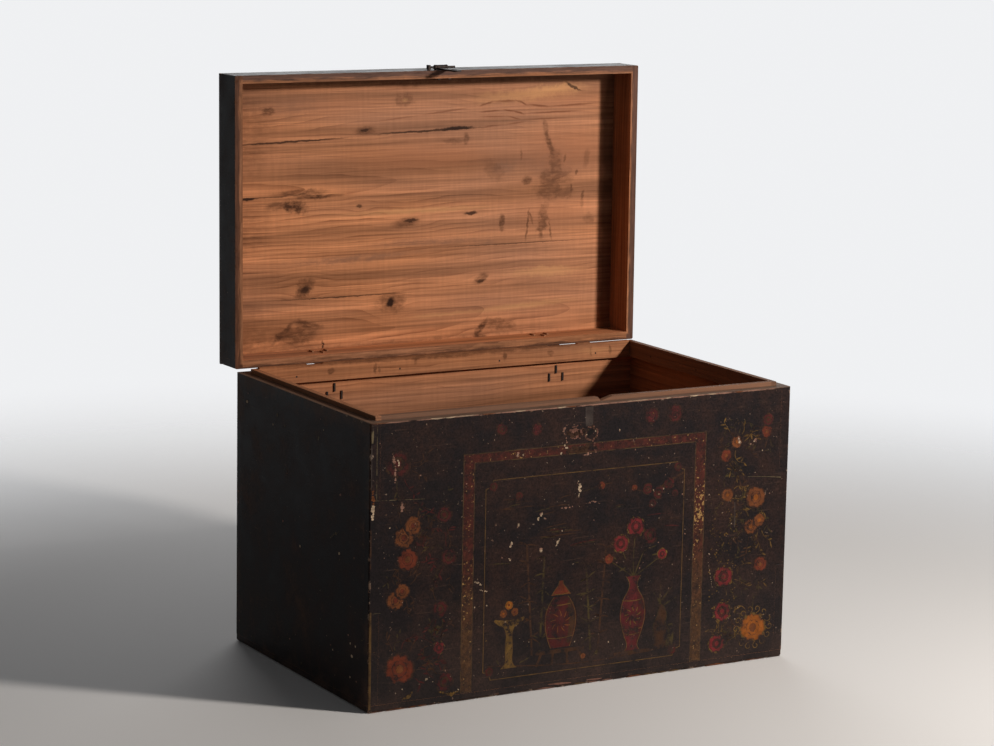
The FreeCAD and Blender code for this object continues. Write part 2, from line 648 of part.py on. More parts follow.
def check_and_write():
    """Stop on any failed object or bad shape, and only then write the pieces."""
    doc.recompute()
    for item in doc.Objects:
        if {"Invalid", "Error"} & set(item.State):
            raise RuntimeError(f"{item.Label} failed: {item.State}")
    for label, piece in pieces.items():
        if piece.Shape.isNull() or not piece.Shape.isValid():
            raise RuntimeError(f"{label} has no valid shape")
    os.makedirs("parts", exist_ok=True)
    for label, piece in pieces.items():
        piece.Shape.exportStep(f"parts/{label}.step")
    print(f"{len(pieces)} pieces written")


make_sheet()
make_walls()
make_bottom()
make_lip()
make_lid_rails()
make_lid_top()
for hinge_side, hinge_middle in HINGES.items():
    make_lower_leaf(hinge_side, hinge_middle)
    make_upper_leaf(hinge_side, hinge_middle)
    make_hinge_pin(hinge_side, hinge_middle)
    make_hinge_nails(hinge_side, hinge_middle)
make_hasp()
make_wall_pegs()
make_corner_pins()
make_bottom_fastenings()
make_lip_nails()
make_lid_fastenings()
make_lid_corner_pins()
check_and_write()
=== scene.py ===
# %% [markdown]
# # A painted pine chest, standing open
# The CAD frame gives every board, batten, hinge leaf and nail at its real size. This lesson adds what makes it
# a particular chest: aged pine inside, worn black lacquer outside, painted ornament, and light from one side.

import math
import random

import bpy
from mathutils import Matrix, Vector


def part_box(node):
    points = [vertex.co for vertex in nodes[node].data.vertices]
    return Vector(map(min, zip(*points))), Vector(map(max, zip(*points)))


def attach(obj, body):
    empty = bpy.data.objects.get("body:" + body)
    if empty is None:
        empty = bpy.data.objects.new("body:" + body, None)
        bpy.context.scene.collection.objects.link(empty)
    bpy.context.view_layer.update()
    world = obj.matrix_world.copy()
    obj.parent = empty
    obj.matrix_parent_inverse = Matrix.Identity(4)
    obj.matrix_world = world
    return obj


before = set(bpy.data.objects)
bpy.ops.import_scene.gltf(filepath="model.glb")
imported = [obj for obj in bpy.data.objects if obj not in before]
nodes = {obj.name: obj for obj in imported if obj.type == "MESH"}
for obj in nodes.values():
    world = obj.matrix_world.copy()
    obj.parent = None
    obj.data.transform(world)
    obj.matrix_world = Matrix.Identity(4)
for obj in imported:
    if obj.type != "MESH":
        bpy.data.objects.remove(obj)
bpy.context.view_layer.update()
print("CAD nodes:", len(nodes))

# %% [markdown]
# ## Camera
# The photograph was taken from the front left with a long lens. The place and turn of the camera come from
# fitting the chest's corners, so the model falls on the same pixels. A matrix is clearer here than three angles:
# its columns are the camera's right, up and backward directions.

# %% Camera
FOCAL_PIXELS = 3064.33
IMAGE_WIDTH = 994
CAMERA_PLACE = (-2.56199, -4.44713, 1.40027)
azimuth = math.radians(29.644)
pitch = math.radians(10.142)
roll = math.radians(-1.058)

forward = Vector((math.sin(azimuth) * math.cos(pitch), math.cos(azimuth) * math.cos(pitch), -math.sin(pitch)))
level_right = Vector((math.cos(azimuth), -math.sin(azimuth), 0))
level_down = forward.cross(level_right)
right = math.cos(roll) * level_right + math.sin(roll) * level_down
down = -math.sin(roll) * level_right + math.cos(roll) * level_down
facing = Matrix((right, -down, -forward)).transposed().to_4x4()

camera_data = bpy.data.cameras.new("camera")
camera_data.sensor_width = 36
camera_data.lens = camera_data.sensor_width * FOCAL_PIXELS / IMAGE_WIDTH
camera = bpy.data.objects.new("camera", camera_data)
bpy.context.scene.collection.objects.link(camera)
camera.matrix_world = Matrix.Translation(CAMERA_PLACE) @ facing
bpy.context.scene.camera = camera
print("lens:", round(camera_data.lens, 1), "mm")

# %% [markdown]
# ## Small helpers
# Colours are written as sRGB hex, as a paint chart gives them, and turned to the linear values that the
# renderer works in. One function adds a shader node, sets it up and links it.

# %% Helpers
# A Mix node has its colours at inputs 6 and 7 and output 2.
RGBA = {"out": 2, "data_type": "RGBA"}
SMOOTH = {"interpolation_type": "SMOOTHSTEP"}


def srgb(code):
    channels = [int(code[i:i + 2], 16) / 255 for i in (1, 3, 5)]
    return tuple(c / 12.92 if c <= 0.04045 else ((c + 0.055) / 1.055) ** 2.4 for c in channels) + (1.0,)


def add(tree, kind, links=None, out=0, **settings):
    """Add a shader node. links maps an input to a socket or a value. Returns one of the node's outputs."""
    node = tree.nodes.new("ShaderNode" + kind)
    for name, value in settings.items():
        setattr(node, name, value)
    for key, value in (links or {}).items():
        if isinstance(value, bpy.types.NodeSocket):
            tree.links.new(value, node.inputs[key])
        else:
            node.inputs[key].default_value = value
    return node.outputs[out] if node.outputs else None


def new_material(name):
    material = bpy.data.materials.new(name)
    material.use_nodes = True
    material.node_tree.nodes.clear()
    return material, material.node_tree


def close_material(tree, **inputs):
    """Give a material its surface: a Principled shader with these inputs, and the output."""
    shader = add(tree, "BsdfPrincipled", {key.replace("_", " "): value for key, value in inputs.items()})
    add(tree, "OutputMaterial", {"Surface": shader})


print("middle grey in linear light:", round(srgb("#808080")[0], 3))

# %% [markdown]
# ## Floor and light
# The chest stands on a pale floor that fades out into a pale surrounding, as on a studio sweep, so nothing hides
# the chest from any side. One lamp at the right throws the lid's rails into shadow on the lid's panel, and its
# place follows those shadows. A weak lamp lights the chest from behind, and the world adds a little even light.

# %% Floor
FLOOR_RADIUS = 4.0
FLOOR_DROP = 0.0005
FADE_START, FADE_END = 0.9, 2.7


def select_only(*pieces):
    """Deselect everything but these pieces. The first one becomes the active one."""
    bpy.ops.object.select_all(action="DESELECT")
    for piece in pieces:
        piece.select_set(True)
    if pieces:
        bpy.context.view_layer.objects.active = pieces[0]


material, tree = new_material("grey_floor_paint")
# Matt floor paint: one pale colour with no pattern, fading to clear towards the rim.
point = add(tree, "TexCoord", out="Object")
reach = add(tree, "VectorMath", {0: point}, out="Value", operation="LENGTH")
fade = add(tree, "MapRange", {0: reach, 1: FADE_START, 2: FADE_END}, **SMOOTH)
paint = add(tree, "BsdfPrincipled", {"Base Color": srgb("#F0EEED"), "Roughness": 0.8})
clear = add(tree, "BsdfTransparent")
surface = add(tree, "MixShader", {0: fade, 1: paint, 2: clear})
add(tree, "OutputMaterial", {0: surface})

select_only()
bpy.ops.mesh.primitive_circle_add(vertices=96, radius=FLOOR_RADIUS, fill_type="NGON", location=(0, 0, -FLOOR_DROP))
floor = bpy.context.object
floor.name = "floor"
floor.data.materials.append(material)
print("floor radius:", FLOOR_RADIUS, "m")

# %% Lamps
bpy.context.scene.view_settings.view_transform = "Standard"


def area_lamp(name, watts, place, target, **settings):
    """A flat lamp at a place, turned to a target."""
    data = bpy.data.lights.new(name, "AREA")
    data.energy = watts
    for key, value in settings.items():
        setattr(data, key, value)
    lamp = bpy.data.objects.new(name, data)
    bpy.context.scene.collection.objects.link(lamp)
    lamp.location = place
    lamp.rotation_euler = (Vector(target) - lamp.location).to_track_quat("-Z", "Y").to_euler()
    return lamp


warm_white = srgb("#FFF8F0")[:3]
window = area_lamp("window_light", 68, (1.521, -2.008, 1.65), (0, 0.1, 0.55), shape="DISK", size=0.30, color=warm_white)
fill = area_lamp("back_fill", 20, (0.9, 2.4, 1.5), (0, 0.3, 0.5), size=1.8)
fill.visible_camera = False
print("lamps:", window.data.energy, "and", fill.data.energy, "W")

# %% Surrounding
EVEN_LIGHT = 0.064
world = bpy.data.worlds.new("room")
world.use_nodes = True
tree = world.node_tree
tree.nodes.clear()
# What the eye and reflections see: pale up to just over the horizon, dimmer overhead.
sideways, _, upward = add(tree, "SeparateXYZ", {0: add(tree, "TexCoord", out="Generated")}).node.outputs
seen = add(tree, "MapRange", {0: upward, 1: 0.05, 2: 0.6, 3: 0.94, 4: 0.2}, **SMOOTH)
ray = add(tree, "LightPath").node.outputs
# The room is darker at the left, which only reflections show.
corner = add(tree, "MapRange", {0: sideways, 1: -0.6, 2: -0.1, 3: 0.06, 4: 1.0})
corner = add(tree, "Mix", {0: ray["Is Glossy Ray"], 2: 1.0, 3: corner})
seen = add(tree, "Math", {0: seen, 1: corner}, operation="MULTIPLY")
looks = add(tree, "Math", {0: ray["Is Camera Ray"], 1: ray["Is Glossy Ray"]}, operation="MAXIMUM")
looks = add(tree, "Math", {0: looks, 1: ray["Is Transmission Ray"]}, operation="MAXIMUM")
strength = add(tree, "Mix", {0: looks, 2: EVEN_LIGHT, 3: seen})
glow = add(tree, "Background", {"Color": srgb("#F6F7F9"), "Strength": strength})
add(tree, "OutputWorld", {0: glow})
bpy.context.scene.world = world
print("even light:", EVEN_LIGHT)

# %% [markdown]
# ## Aged pine
# A pine board is a plane cut through a tree, so its figure is made the way the tree makes it: rings around a
# pith that lies beside the board, and the cut shows the distance from that pith. The pith wanders along the
# board, which gives the waves and arches. Thin late wood is dark and ends sharply. Knots, water stains and
# cracks come on top, each as a ragged spot at its measured place.
# Dark bands where the lid's rails shade the panel are laid the same way: they are painted shadow.

# %% Marks on a board
# Each kind of mark has a colour and a softness, the share of its half width over which it fades.
MARK_KINDS = {
    "knot": (srgb("#30190E"), 0.6), "stain": (srgb("#54321F"), 0.6), "crack": (srgb("#27140B"), 0.6),
    "bright": (srgb("#E0A670"), 1.0), "grey": (srgb("#85604D"), 0.9), "plain": (srgb("#B27350"), 0.9),
    # The last kind is painted shadow: narrow dark bands laid where the lid's rails shade the panel.
    "grain": (srgb("#74422A"), 0.8), "grime": (srgb("#27140B"), 0.5),
}


def spot(tree, place, x, y, half_long, half_wide, turn=0):
    """Distance from the middle of an ellipse, 1 at its rim, and the way there. Sizes are in mm, turn in degrees."""
    moved = add(tree, "VectorMath", {0: place, 1: (x / 1000, y / 1000, 0)}, operation="SUBTRACT")
    turned = add(tree, "VectorRotate", {"Vector": moved, "Angle": -math.radians(turn)}, rotation_type="Z_AXIS")
    scaled = add(tree, "VectorMath", {0: turned, 1: (1000 / half_long, 1000 / half_wide, 0)}, operation="MULTIPLY")
    return add(tree, "VectorMath", {0: scaled}, out="Value", operation="LENGTH"), moved


def mark(tree, torn, patch, colour, kind, *ellipse, amount):
    """Lay one ragged spot over a colour. Stains are patchy, because the wood takes water unevenly."""
    away, _ = spot(tree, torn, *ellipse)
    mark_colour, softness = MARK_KINDS[kind]
    mask = add(tree, "MapRange", {0: away, 1: 1.0, 2: 1.0 - softness, 3: 0.0, 4: amount}, **SMOOTH)
    if kind in ("stain", "grey"):
        mask = add(tree, "Math", {0: mask, 1: patch}, operation="MULTIPLY")
    return add(tree, "Mix", {0: mask, 6: colour, 7: mark_colour}, **RGBA)


print("kinds of mark:", ", ".join(MARK_KINDS))

# %% Torn outlines of the marks
# How far noise moves a mark's outline along and across the grain, in metres.
TEARS = {
    "ragged": (0.04, 0.03, 0.0), "straight": (0.03, 0.006, 0.0),
    "narrow": (0.014, 0.012, 0.0), "smooth": (0.02, 0.0025, 0.0),
}
KIND_TEARS = {"crack": "straight", "grain": "smooth", "grime": "narrow"}
NARROW_MARK = 12


def lay_marks(tree, place, colour, marks):
    """Lay a list of marks over a board's colour, the first one lowest."""
    tear = add(tree, "TexNoise", {"Vector": place, "Scale": 60.0, "Detail": 5.0, "Roughness": 0.68}, out="Color")
    tear = add(tree, "VectorMath", {0: tear, 1: (0.5, 0.5, 0.5)}, operation="SUBTRACT")
    blot_place = add(tree, "VectorMath", {0: place, 1: (60, 150, 150)}, operation="MULTIPLY")
    blot = add(tree, "TexNoise", {"Vector": blot_place, "Scale": 1.0, "Detail": 4.0, "Roughness": 0.65})
    patch = add(tree, "MapRange", {0: blot, 1: 0.36, 2: 0.58, 3: 0.5, 4: 1.1})
    torn = {}
    for name, reach in TEARS.items():
        torn[name] = add(tree, "VectorMath", {0: tear, 1: reach, 2: place}, operation="MULTIPLY_ADD")
    for kind, *ellipse, amount in marks:
        usual = "narrow" if ellipse[3] < NARROW_MARK else "ragged"
        colour = mark(tree, torn[KIND_TEARS.get(kind, usual)], patch, colour, kind, *ellipse, amount=amount)
    return colour


print("outlines:", ", ".join(TEARS))

# %% Growth rings
RING_WIDTH = 0.009


def growth_rings(tree, place, slow, wave, pith, depth, drift, marks, swells):
    """How much dark late wood shows at a place. Two noises, slow and wave, make the pith wander."""
    parts = add(tree, "SeparateXYZ", {0: place}).node.outputs
    shift = add(tree, "Math", {0: slow, 1: 0.05, 2: -0.025 - pith}, operation="MULTIPLY_ADD")
    shift = add(tree, "Math", {0: wave, 1: 0.012, 2: shift}, operation="MULTIPLY_ADD")
    across = add(tree, "Math", {0: parts["Y"], 1: shift}, operation="ADD")
    # The rings swell over hidden branches and flow round knots.
    for *ellipse, lift in swells:
        away, _ = spot(tree, place, *ellipse)
        rise = add(tree, "MapRange", {0: away, 1: 1.0, 2: 0.0, 3: 0.0, 4: lift / 1000}, **SMOOTH)
        across = add(tree, "Math", {0: across, 1: rise}, operation="ADD")
    for kind, x, y, half_long, half_wide, *_ in marks:
        if kind == "knot":
            away, moved = spot(tree, place, x, y, half_long * 5, half_wide * 6)
            pull = add(tree, "MapRange", {0: away, 1: 1.0, 2: 0.0, 3: 0.0, 4: -0.85}, **SMOOTH)
            beside = add(tree, "SeparateXYZ", {0: moved}, out="Y")
            across = add(tree, "Math", {0: pull, 1: beside, 2: across}, operation="MULTIPLY_ADD")
    deep = add(tree, "Math", {0: parts["X"], 1: drift, 2: depth}, operation="MULTIPLY_ADD")
    from_pith = add(tree, "CombineXYZ", {0: across, 1: deep})
    radius = add(tree, "VectorMath", {0: from_pith}, out="Value", operation="LENGTH")
    years = add(tree, "Math", {0: radius, 1: RING_WIDTH}, operation="DIVIDE")
    year = add(tree, "Math", {0: years}, operation="FRACT")
    late = add(tree, "Math", {0: year, 1: 3.0}, operation="POWER")
    strong = add(tree, "MapRange", {0: wave, 1: 0.35, 2: 0.64, 3: 0.15, 4: 0.8})
    return add(tree, "Math", {0: late, 1: strong}, operation="MULTIPLY")


print("rings:", 1000 * RING_WIDTH, "mm apart")

# %% Pine figure
EARLY_WOOD = srgb("#C38259")
LATE_WOOD = srgb("#7C482B")
GREYED_WOOD = srgb("#A1745C")


def pine_figure(tree, place, pith=0.2, depth=0.03, drift=0.02, tone=1.0, marks=(), swells=()):
    """Colour and height of a board. place has the grain along x, the width along y and the thickness along z.

    pith and depth say where the pith lies beside the board, and drift how it leaves the board's plane, in metres.
    """
    slow_place = add(tree, "VectorMath", {0: place, 1: (1.8, 8, 8)}, operation="MULTIPLY")
    slow = add(tree, "TexNoise", {"Vector": slow_place, "Scale": 1.0, "Detail": 2.0})
    wave_place = add(tree, "VectorMath", {0: place, 1: (8, 34, 34)}, operation="MULTIPLY")
    wave = add(tree, "TexNoise", {"Vector": wave_place, "Scale": 1.0, "Detail": 3.0})
    line = growth_rings(tree, place, slow, wave, pith, depth, drift, marks, swells)
    colour = add(tree, "Mix", {0: line, 6: EARLY_WOOD, 7: LATE_WOOD}, **RGBA)
    grey = add(tree, "MapRange", {0: slow, 1: 0.42, 2: 0.7, 3: 0.0, 4: 0.65})
    colour = add(tree, "Mix", {0: grey, 6: colour, 7: GREYED_WOOD}, **RGBA)

    # Fibres are finer than the picture can show, so they are drawn about 4 mm wide and 300 mm long.
    fibre_place = add(tree, "VectorMath", {0: place, 1: (3.5, 260, 260)}, operation="MULTIPLY")
    fibre = add(tree, "TexNoise", {"Vector": fibre_place, "Scale": 1.0, "Detail": 3.0, "Roughness": 0.6})
    tone = add(tree, "MapRange", {0: fibre, 1: 0.28, 2: 0.72, 3: 0.72 * tone, 4: 1.24 * tone})
    # Broad streaks of darker and paler wood, about 25 mm wide, and marks of the saw across the grain, 6 mm apart.
    streak_place = add(tree, "VectorMath", {0: place, 1: (1.3, 38, 38)}, operation="MULTIPLY")
    streak = add(tree, "TexNoise", {"Vector": streak_place, "Scale": 1.0, "Detail": 3.0, "Distortion": 0.4})
    streak = add(tree, "MapRange", {0: streak, 1: 0.3, 2: 0.7, 3: 0.62, 4: 1.3})
    saw_place = add(tree, "VectorMath", {0: place, 1: (170, 14, 14)}, operation="MULTIPLY")
    saw = add(tree, "TexNoise", {"Vector": saw_place, "Scale": 1.0, "Detail": 2.0})
    saw = add(tree, "MapRange", {0: saw, 1: 0.3, 2: 0.7, 3: 0.95, 4: 1.05})
    for factor in (streak, saw):
        tone = add(tree, "Math", {0: tone, 1: factor}, operation="MULTIPLY")
    colour = add(tree, "VectorMath", {0: colour, "Scale": tone}, operation="SCALE")

    if marks:
        colour = lay_marks(tree, place, colour, marks)
    height = add(tree, "Math", {0: line, 1: -0.6, 2: fibre}, operation="MULTIPLY_ADD")
    return colour, height


print("early wood in linear light:", [round(channel, 2) for channel in EARLY_WOOD[:3]])

# %% [markdown]
# ## Worn black lacquer
# The outside is black lacquer on a pale ground. It wears off at the edges first, so the wear follows the
# distance to the nearest edge of the box, broken up by noise. Brown clouds show where the coat has thinned, and
# small flecks have come away all over.

# %% Edges and seams
BODY_BOX = ((-0.4, -0.2505, 0.0), (0.4, 0.2505, 0.472))
LID_BOX = ((-0.4, -0.50545, 0.0013), (0.4, -0.00445, 0.0763))
WALL_SEAMS = (0.164, 0.334)
LID_SEAMS = (-0.10945, -0.18645, -0.29045)
NO_SEAMS = (9.0,)


def edge_distance(tree, point, low, high):
    """How far a point on a box's surface is from the box's nearest edge: the middle one of its three depths."""
    middle = [(a + b) / 2 for a, b in zip(low, high)]
    half = [(b - a) / 2 for a, b in zip(low, high)]
    offset = add(tree, "VectorMath", {0: point, 1: middle}, operation="SUBTRACT")
    size = add(tree, "VectorMath", {0: offset}, operation="ABSOLUTE")
    depth = add(tree, "VectorMath", {0: half, 1: size}, operation="SUBTRACT")
    a, b, c = add(tree, "SeparateXYZ", {0: depth}).node.outputs
    least = add(tree, "Math", {0: a, 1: b}, operation="MINIMUM")
    most = add(tree, "Math", {0: a, 1: b}, operation="MAXIMUM")
    rest = add(tree, "Math", {0: most, 1: c}, operation="MINIMUM")
    return add(tree, "Math", {0: least, 1: rest}, operation="MAXIMUM")


def seam_distance(tree, place, seams):
    """How far a place is from the nearest seam between boards, measured across the grain."""
    across = add(tree, "SeparateXYZ", {0: place}, out="Y")
    nearest = None
    for position in seams:
        offset = add(tree, "Math", {0: across, 1: position}, operation="SUBTRACT")
        gap = add(tree, "Math", {0: offset}, operation="ABSOLUTE")
        nearest = gap if nearest is None else add(tree, "Math", {0: nearest, 1: gap}, operation="MINIMUM")
    return nearest


print("seams:", len(WALL_SEAMS), "on a wall and", len(LID_SEAMS), "on the lid")

# %% Chips and flecks
WORN_WOOD = srgb("#6A4F40")
PALE_GROUND = srgb("#A38C79")


def worn_through(tree, point, edge, seam):
    """Where chips and flecks have bared the ground, and the ground's colour."""
    # Chips of about 14 mm: likely within 7 mm of an edge and 5 mm of a seam, rare elsewhere.
    chip_noise = add(tree, "TexNoise", {"Vector": point, "Scale": 70.0, "Detail": 5.0, "Roughness": 0.72})
    near = add(tree, "MapRange", {0: edge, 1: 0.0, 2: 0.007, 3: 0.19, 4: 0.0})
    near_seam = add(tree, "MapRange", {0: seam, 1: 0.0, 2: 0.005, 3: 0.1, 4: 0.0})
    near = add(tree, "Math", {0: near, 1: near_seam}, operation="MAXIMUM")
    chance = add(tree, "Math", {0: chip_noise, 1: near}, operation="ADD")
    chip = add(tree, "MapRange", {0: chance, 1: 0.7, 2: 0.74, 3: 0.0, 4: 0.9})
    # Flecks of about 5 mm all over.
    fleck_noise = add(tree, "TexNoise", {"Vector": point, "Scale": 190.0, "Detail": 2.0})
    fleck = add(tree, "MapRange", {0: fleck_noise, 1: 0.72, 2: 0.77, 3: 0.0, 4: 0.7})
    bare = add(tree, "Math", {0: chip, 1: fleck}, operation="MAXIMUM")
    ground_noise = add(tree, "TexNoise", {"Vector": point, "Scale": 38.0, "Detail": 3.0})
    ground_tone = add(tree, "MapRange", {0: ground_noise, 1: 0.42, 2: 0.66})
    return bare, add(tree, "Mix", {0: ground_tone, 6: WORN_WOOD, 7: PALE_GROUND}, **RGBA)


print("pale ground in linear light:", [round(channel, 2) for channel in PALE_GROUND[:3]])

# %% Lacquer coat
LACQUER = srgb("#181213")
LACQUER_BROWN = srgb("#38231B")
FLOOR_BOUNCE_TINT = srgb("#5A514D")
SEAM_GAP = srgb("#070505")
PAINT_DEPTH = 0.0005


def lacquer_coat(tree, point, place, edge, seams=WALL_SEAMS, handled=0.0):
    """Colour, roughness and height of the lacquer. place runs along the grain, as for the pine below it."""
    cloud = add(tree, "TexNoise", {"Vector": point, "Scale": 14.0, "Detail": 6.0, "Roughness": 0.7})
    brown = add(tree, "MapRange", {0: cloud, 1: 0.42, 2: 0.72, 3: 0.0, 4: 0.7})
    colour = add(tree, "Mix", {0: brown, 6: LACQUER, 7: LACQUER_BROWN}, **RGBA)
    # Grime and fine crazing, about 3 mm apart.
    grime = add(tree, "TexNoise", {"Vector": point, "Scale": 330.0, "Detail": 3.0, "Roughness": 0.7})
    grime = add(tree, "MapRange", {0: grime, 1: 0.3, 2: 0.7, 3: 0.35, 4: 1.75})
    colour = add(tree, "VectorMath", {0: colour, "Scale": grime}, operation="SCALE")

    if seams is not LID_SEAMS:
        # Painted light: the lacquer is lightened towards the floor, standing in for the light that the floor throws
        # back on it.
        above = add(tree, "SeparateXYZ", {0: point}, out="Z")
        low = add(tree, "MapRange", {0: above, 1: 0.2, 2: 0.0, 3: 0.0, 4: 0.27})
        low = add(tree, "Math", {0: low, 1: cloud}, operation="MULTIPLY")
        colour = add(tree, "Mix", {0: low, 6: colour, 7: FLOOR_BOUNCE_TINT}, **RGBA)

    # Hair cracks follow the grain, about 4 mm apart and 70 mm long.
    crack_place = add(tree, "VectorMath", {0: place, 1: (14, 230, 230)}, operation="MULTIPLY")
    crack = add(tree, "TexNoise", {"Vector": crack_place, "Scale": 1.0, "Detail": 4.0, "Roughness": 0.7})
    crack = add(tree, "MapRange", {0: crack, 1: 0.62, 2: 0.78, 3: 0.0, 4: 0.4})
    colour = add(tree, "Mix", {0: crack, 6: colour, 7: WORN_WOOD}, **RGBA)

    if handled:
        # Hands and other furniture have rubbed a band of about 40 mm along the edges brown, but not on the front.
        rubbed = add(tree, "MapRange", {0: edge, 1: 0.0, 2: 0.04, 3: 0.2, 4: 0.0}, **SMOOTH)
        rubbed = add(tree, "Math", {0: rubbed, 1: cloud}, operation="ADD")
        rubbed = add(tree, "MapRange", {0: rubbed, 1: 0.56, 2: 0.76, 3: 0.0, 4: handled})
        behind = add(tree, "SeparateXYZ", {0: point}, out="Y")
        unpainted = add(tree, "Math", {0: behind, 1: BODY_BOX[0][1] + PAINT_DEPTH}, operation="GREATER_THAN")
        rubbed = add(tree, "Math", {0: rubbed, 1: unpainted}, operation="MULTIPLY")
        colour = add(tree, "Mix", {0: rubbed, 6: colour, 7: WORN_WOOD}, **RGBA)

    # Over a seam between boards the coat has cracked, about 2 mm wide and closed in places. It chips there too.
    seam = seam_distance(tree, place, seams)
    open_seam = add(tree, "MapRange", {0: seam, 1: 0.0012, 2: 0.0005, 3: 0.0, 4: 1.0})
    bridged = add(tree, "MapRange", {0: cloud, 1: 0.4, 2: 0.5, 3: 0.25, 4: 0.9})
    open_seam = add(tree, "Math", {0: open_seam, 1: bridged}, operation="MULTIPLY")
    colour = add(tree, "Mix", {0: open_seam, 6: colour, 7: SEAM_GAP}, **RGBA)
    bare, ground = worn_through(tree, point, edge, seam)
    colour = add(tree, "Mix", {0: bare, 6: colour, 7: ground}, **RGBA)

    rough = add(tree, "MapRange", {0: cloud, 1: 0.3, 2: 0.7, 3: 0.42, 4: 0.6})
    rough = add(tree, "Math", {0: bare, 1: 0.3, 2: rough}, operation="MULTIPLY_ADD")
    height = add(tree, "Math", {0: bare, 1: -1.0, 2: crack}, operation="MULTIPLY_ADD")
    height = add(tree, "Math", {0: open_seam, 1: -1.5, 2: height}, operation="MULTIPLY_ADD")
    return colour, rough, height


print("lacquer in linear light:", [round(channel, 4) for channel in LACQUER[:3]])

# %% [markdown]
# ## Boards
# Each board is pine with lacquer on its outer side only. The two are one material, because they are one piece of
# wood: a test on the board's own coordinates says which side is bare. The lid's boards are tested in the lid's
# own shut attitude, so a Mapping node first turns the open lid back. The rims, where lid and body meet, are
# rubbed to a brown that is neither fresh wood nor lacquer.

# %% Grain, sides and rims
def along_grain(tree, point, grain):
    """A point's three coordinates, and its place along, across and through the board. grain lists those axes."""
    parts = add(tree, "SeparateXYZ", {0: point}).node.outputs
    return parts, add(tree, "CombineXYZ", {i: parts[axis] for i, axis in enumerate(grain)})


def beyond(tree, parts, axis, sign, limit):
    """1 where sign times a coordinate is over limit, and 0 elsewhere."""
    side = add(tree, "Math", {0: parts[axis], 1: sign}, operation="MULTIPLY")
    return add(tree, "Math", {0: side, 1: limit}, operation="GREATER_THAN")


def rubbed_rim(tree, place, edge, wood, code, reach):
    """Colour of a rim: wood on its inner part, and the lacquer's last remains within reach of its outer edge."""
    streak_place = add(tree, "VectorMath", {0: place, 1: (22, 260, 260)}, operation="MULTIPLY")
    streak = add(tree, "TexNoise", {"Vector": streak_place, "Scale": 1.0, "Detail": 5.0, "Roughness": 0.7})
    tone = add(tree, "MapRange", {0: streak, 1: 0.3, 2: 0.7, 3: 0.5, 4: 1.15})
    outer = add(tree, "Math", {0: streak, 1: 0.012, 2: edge}, operation="MULTIPLY_ADD")
    outer = add(tree, "MapRange", {0: outer, 1: reach + 0.008, 2: reach + 0.004})
    rubbed = add(tree, "Mix", {0: outer, 6: wood, 7: srgb(code)}, **RGBA)
    return add(tree, "VectorMath", {0: rubbed, "Scale": tone}, operation="SCALE")


print("materials so far:", len(bpy.data.materials))

# %% Board material
LID_OPEN = math.radians(90.6)
HINGE_AXIS = Vector((0, 0.25495, 0.4711))
WOOD_BUMP = {"Strength": 0.5, "Distance": 0.0008}


def board_material(name, on_lid, grain, bare_side, rim=None, seams=WALL_SEAMS, handled=0.3, inner=1.0, **figure):
    """Pine, bare on one side and lacquered on the others.

    bare_side is (axis, sign, limit): the board is bare where sign times that coordinate is over limit. rim is the
    same, with the colour of a rubbed rim and how far that colour reaches from the edge. inner scales the colour of
    the bare side. On the lid's front rail, whose inner face turns down in the open lid, it is painted shade.
    """
    material, tree = new_material(name)
    point = add(tree, "TexCoord", out="Object")
    if on_lid:
        turn = Matrix.Rotation(LID_OPEN, 3, "X")
        point = add(tree, "Mapping", {0: point, 1: -(turn @ HINGE_AXIS), 2: (LID_OPEN, 0, 0)})
    parts, place = along_grain(tree, point, grain)
    wood, wood_height = pine_figure(tree, place, **figure)
    edge = edge_distance(tree, point, *(LID_BOX if on_lid else BODY_BOX))
    coat, coat_rough, coat_height = lacquer_coat(tree, point, place, edge, seams, handled)
    if rim:
        *rim_side, code, reach = rim
        rubbed = rubbed_rim(tree, place, edge, wood, code, reach)
        coat = add(tree, "Mix", {0: beyond(tree, parts, *rim_side), 6: coat, 7: rubbed}, **RGBA)

    bare = beyond(tree, parts, *bare_side)
    inner_wood_painted_shade = add(tree, "VectorMath", {0: wood, "Scale": inner}, operation="SCALE")
    colour = add(tree, "Mix", {0: bare, 6: coat, 7: inner_wood_painted_shade}, **RGBA)
    rough = add(tree, "Mix", {0: bare, 2: coat_rough, 3: 0.62})
    height = add(tree, "Mix", {0: bare, 2: coat_height, 3: wood_height})
    bump = add(tree, "Bump", {"Height": height, **WOOD_BUMP})
    close_material(tree, Base_Color=colour, Roughness=rough, Normal=bump, Specular_IOR_Level=0.1)
    return material


def dress(node, material):
    nodes[node].data.materials.clear()
    nodes[node].data.materials.append(material)


print("the lid stands open by", round(math.degrees(LID_OPEN), 1), "degrees")

# %% Walls
WALL_SIDES = {
    "front": ("XZY", ("Y", 1, -0.23255)),
    "back": ("XZY", ("Y", -1, -0.23255)),
    "left": ("YZX", ("X", 1, -0.38205)),
    "right": ("YZX", ("X", -1, -0.38205)),
}
# The coat bridges the seams of the front and the left wall, and the painted front isn't handled.
WALL_COATS = {"front": {"seams": NO_SEAMS, "handled": 0.0}, "left": {"seams": NO_SEAMS}}
PITHS = {"upper": (0.25, 0.05, 0.03), "middle": (0.4, 0.03, -0.02), "lower": (0.3, 0.06, 0.015)}
TOP_RIM = ("Z", 1, 0.4713, "#7A6152", 0.02)
for wall_name, (grain, bare_side) in WALL_SIDES.items():
    for tier, (pith, depth, drift) in PITHS.items():
        board = f"{wall_name}_{tier}_board"
        rim = TOP_RIM if tier == "upper" else None
        # Painted shade: the right wall's bare inside faces away from the lamp and gets a darker tone than the other
        # walls.
        figure = {"pith": pith, "depth": depth, "drift": drift, "tone": 0.68 if wall_name == "right" else 0.84}
        coat = WALL_COATS.get(wall_name, {})
        dress(board, board_material(f"lacquered_pine_{board}", False, grain, bare_side, rim, **coat, **figure))
print("wall boards dressed")

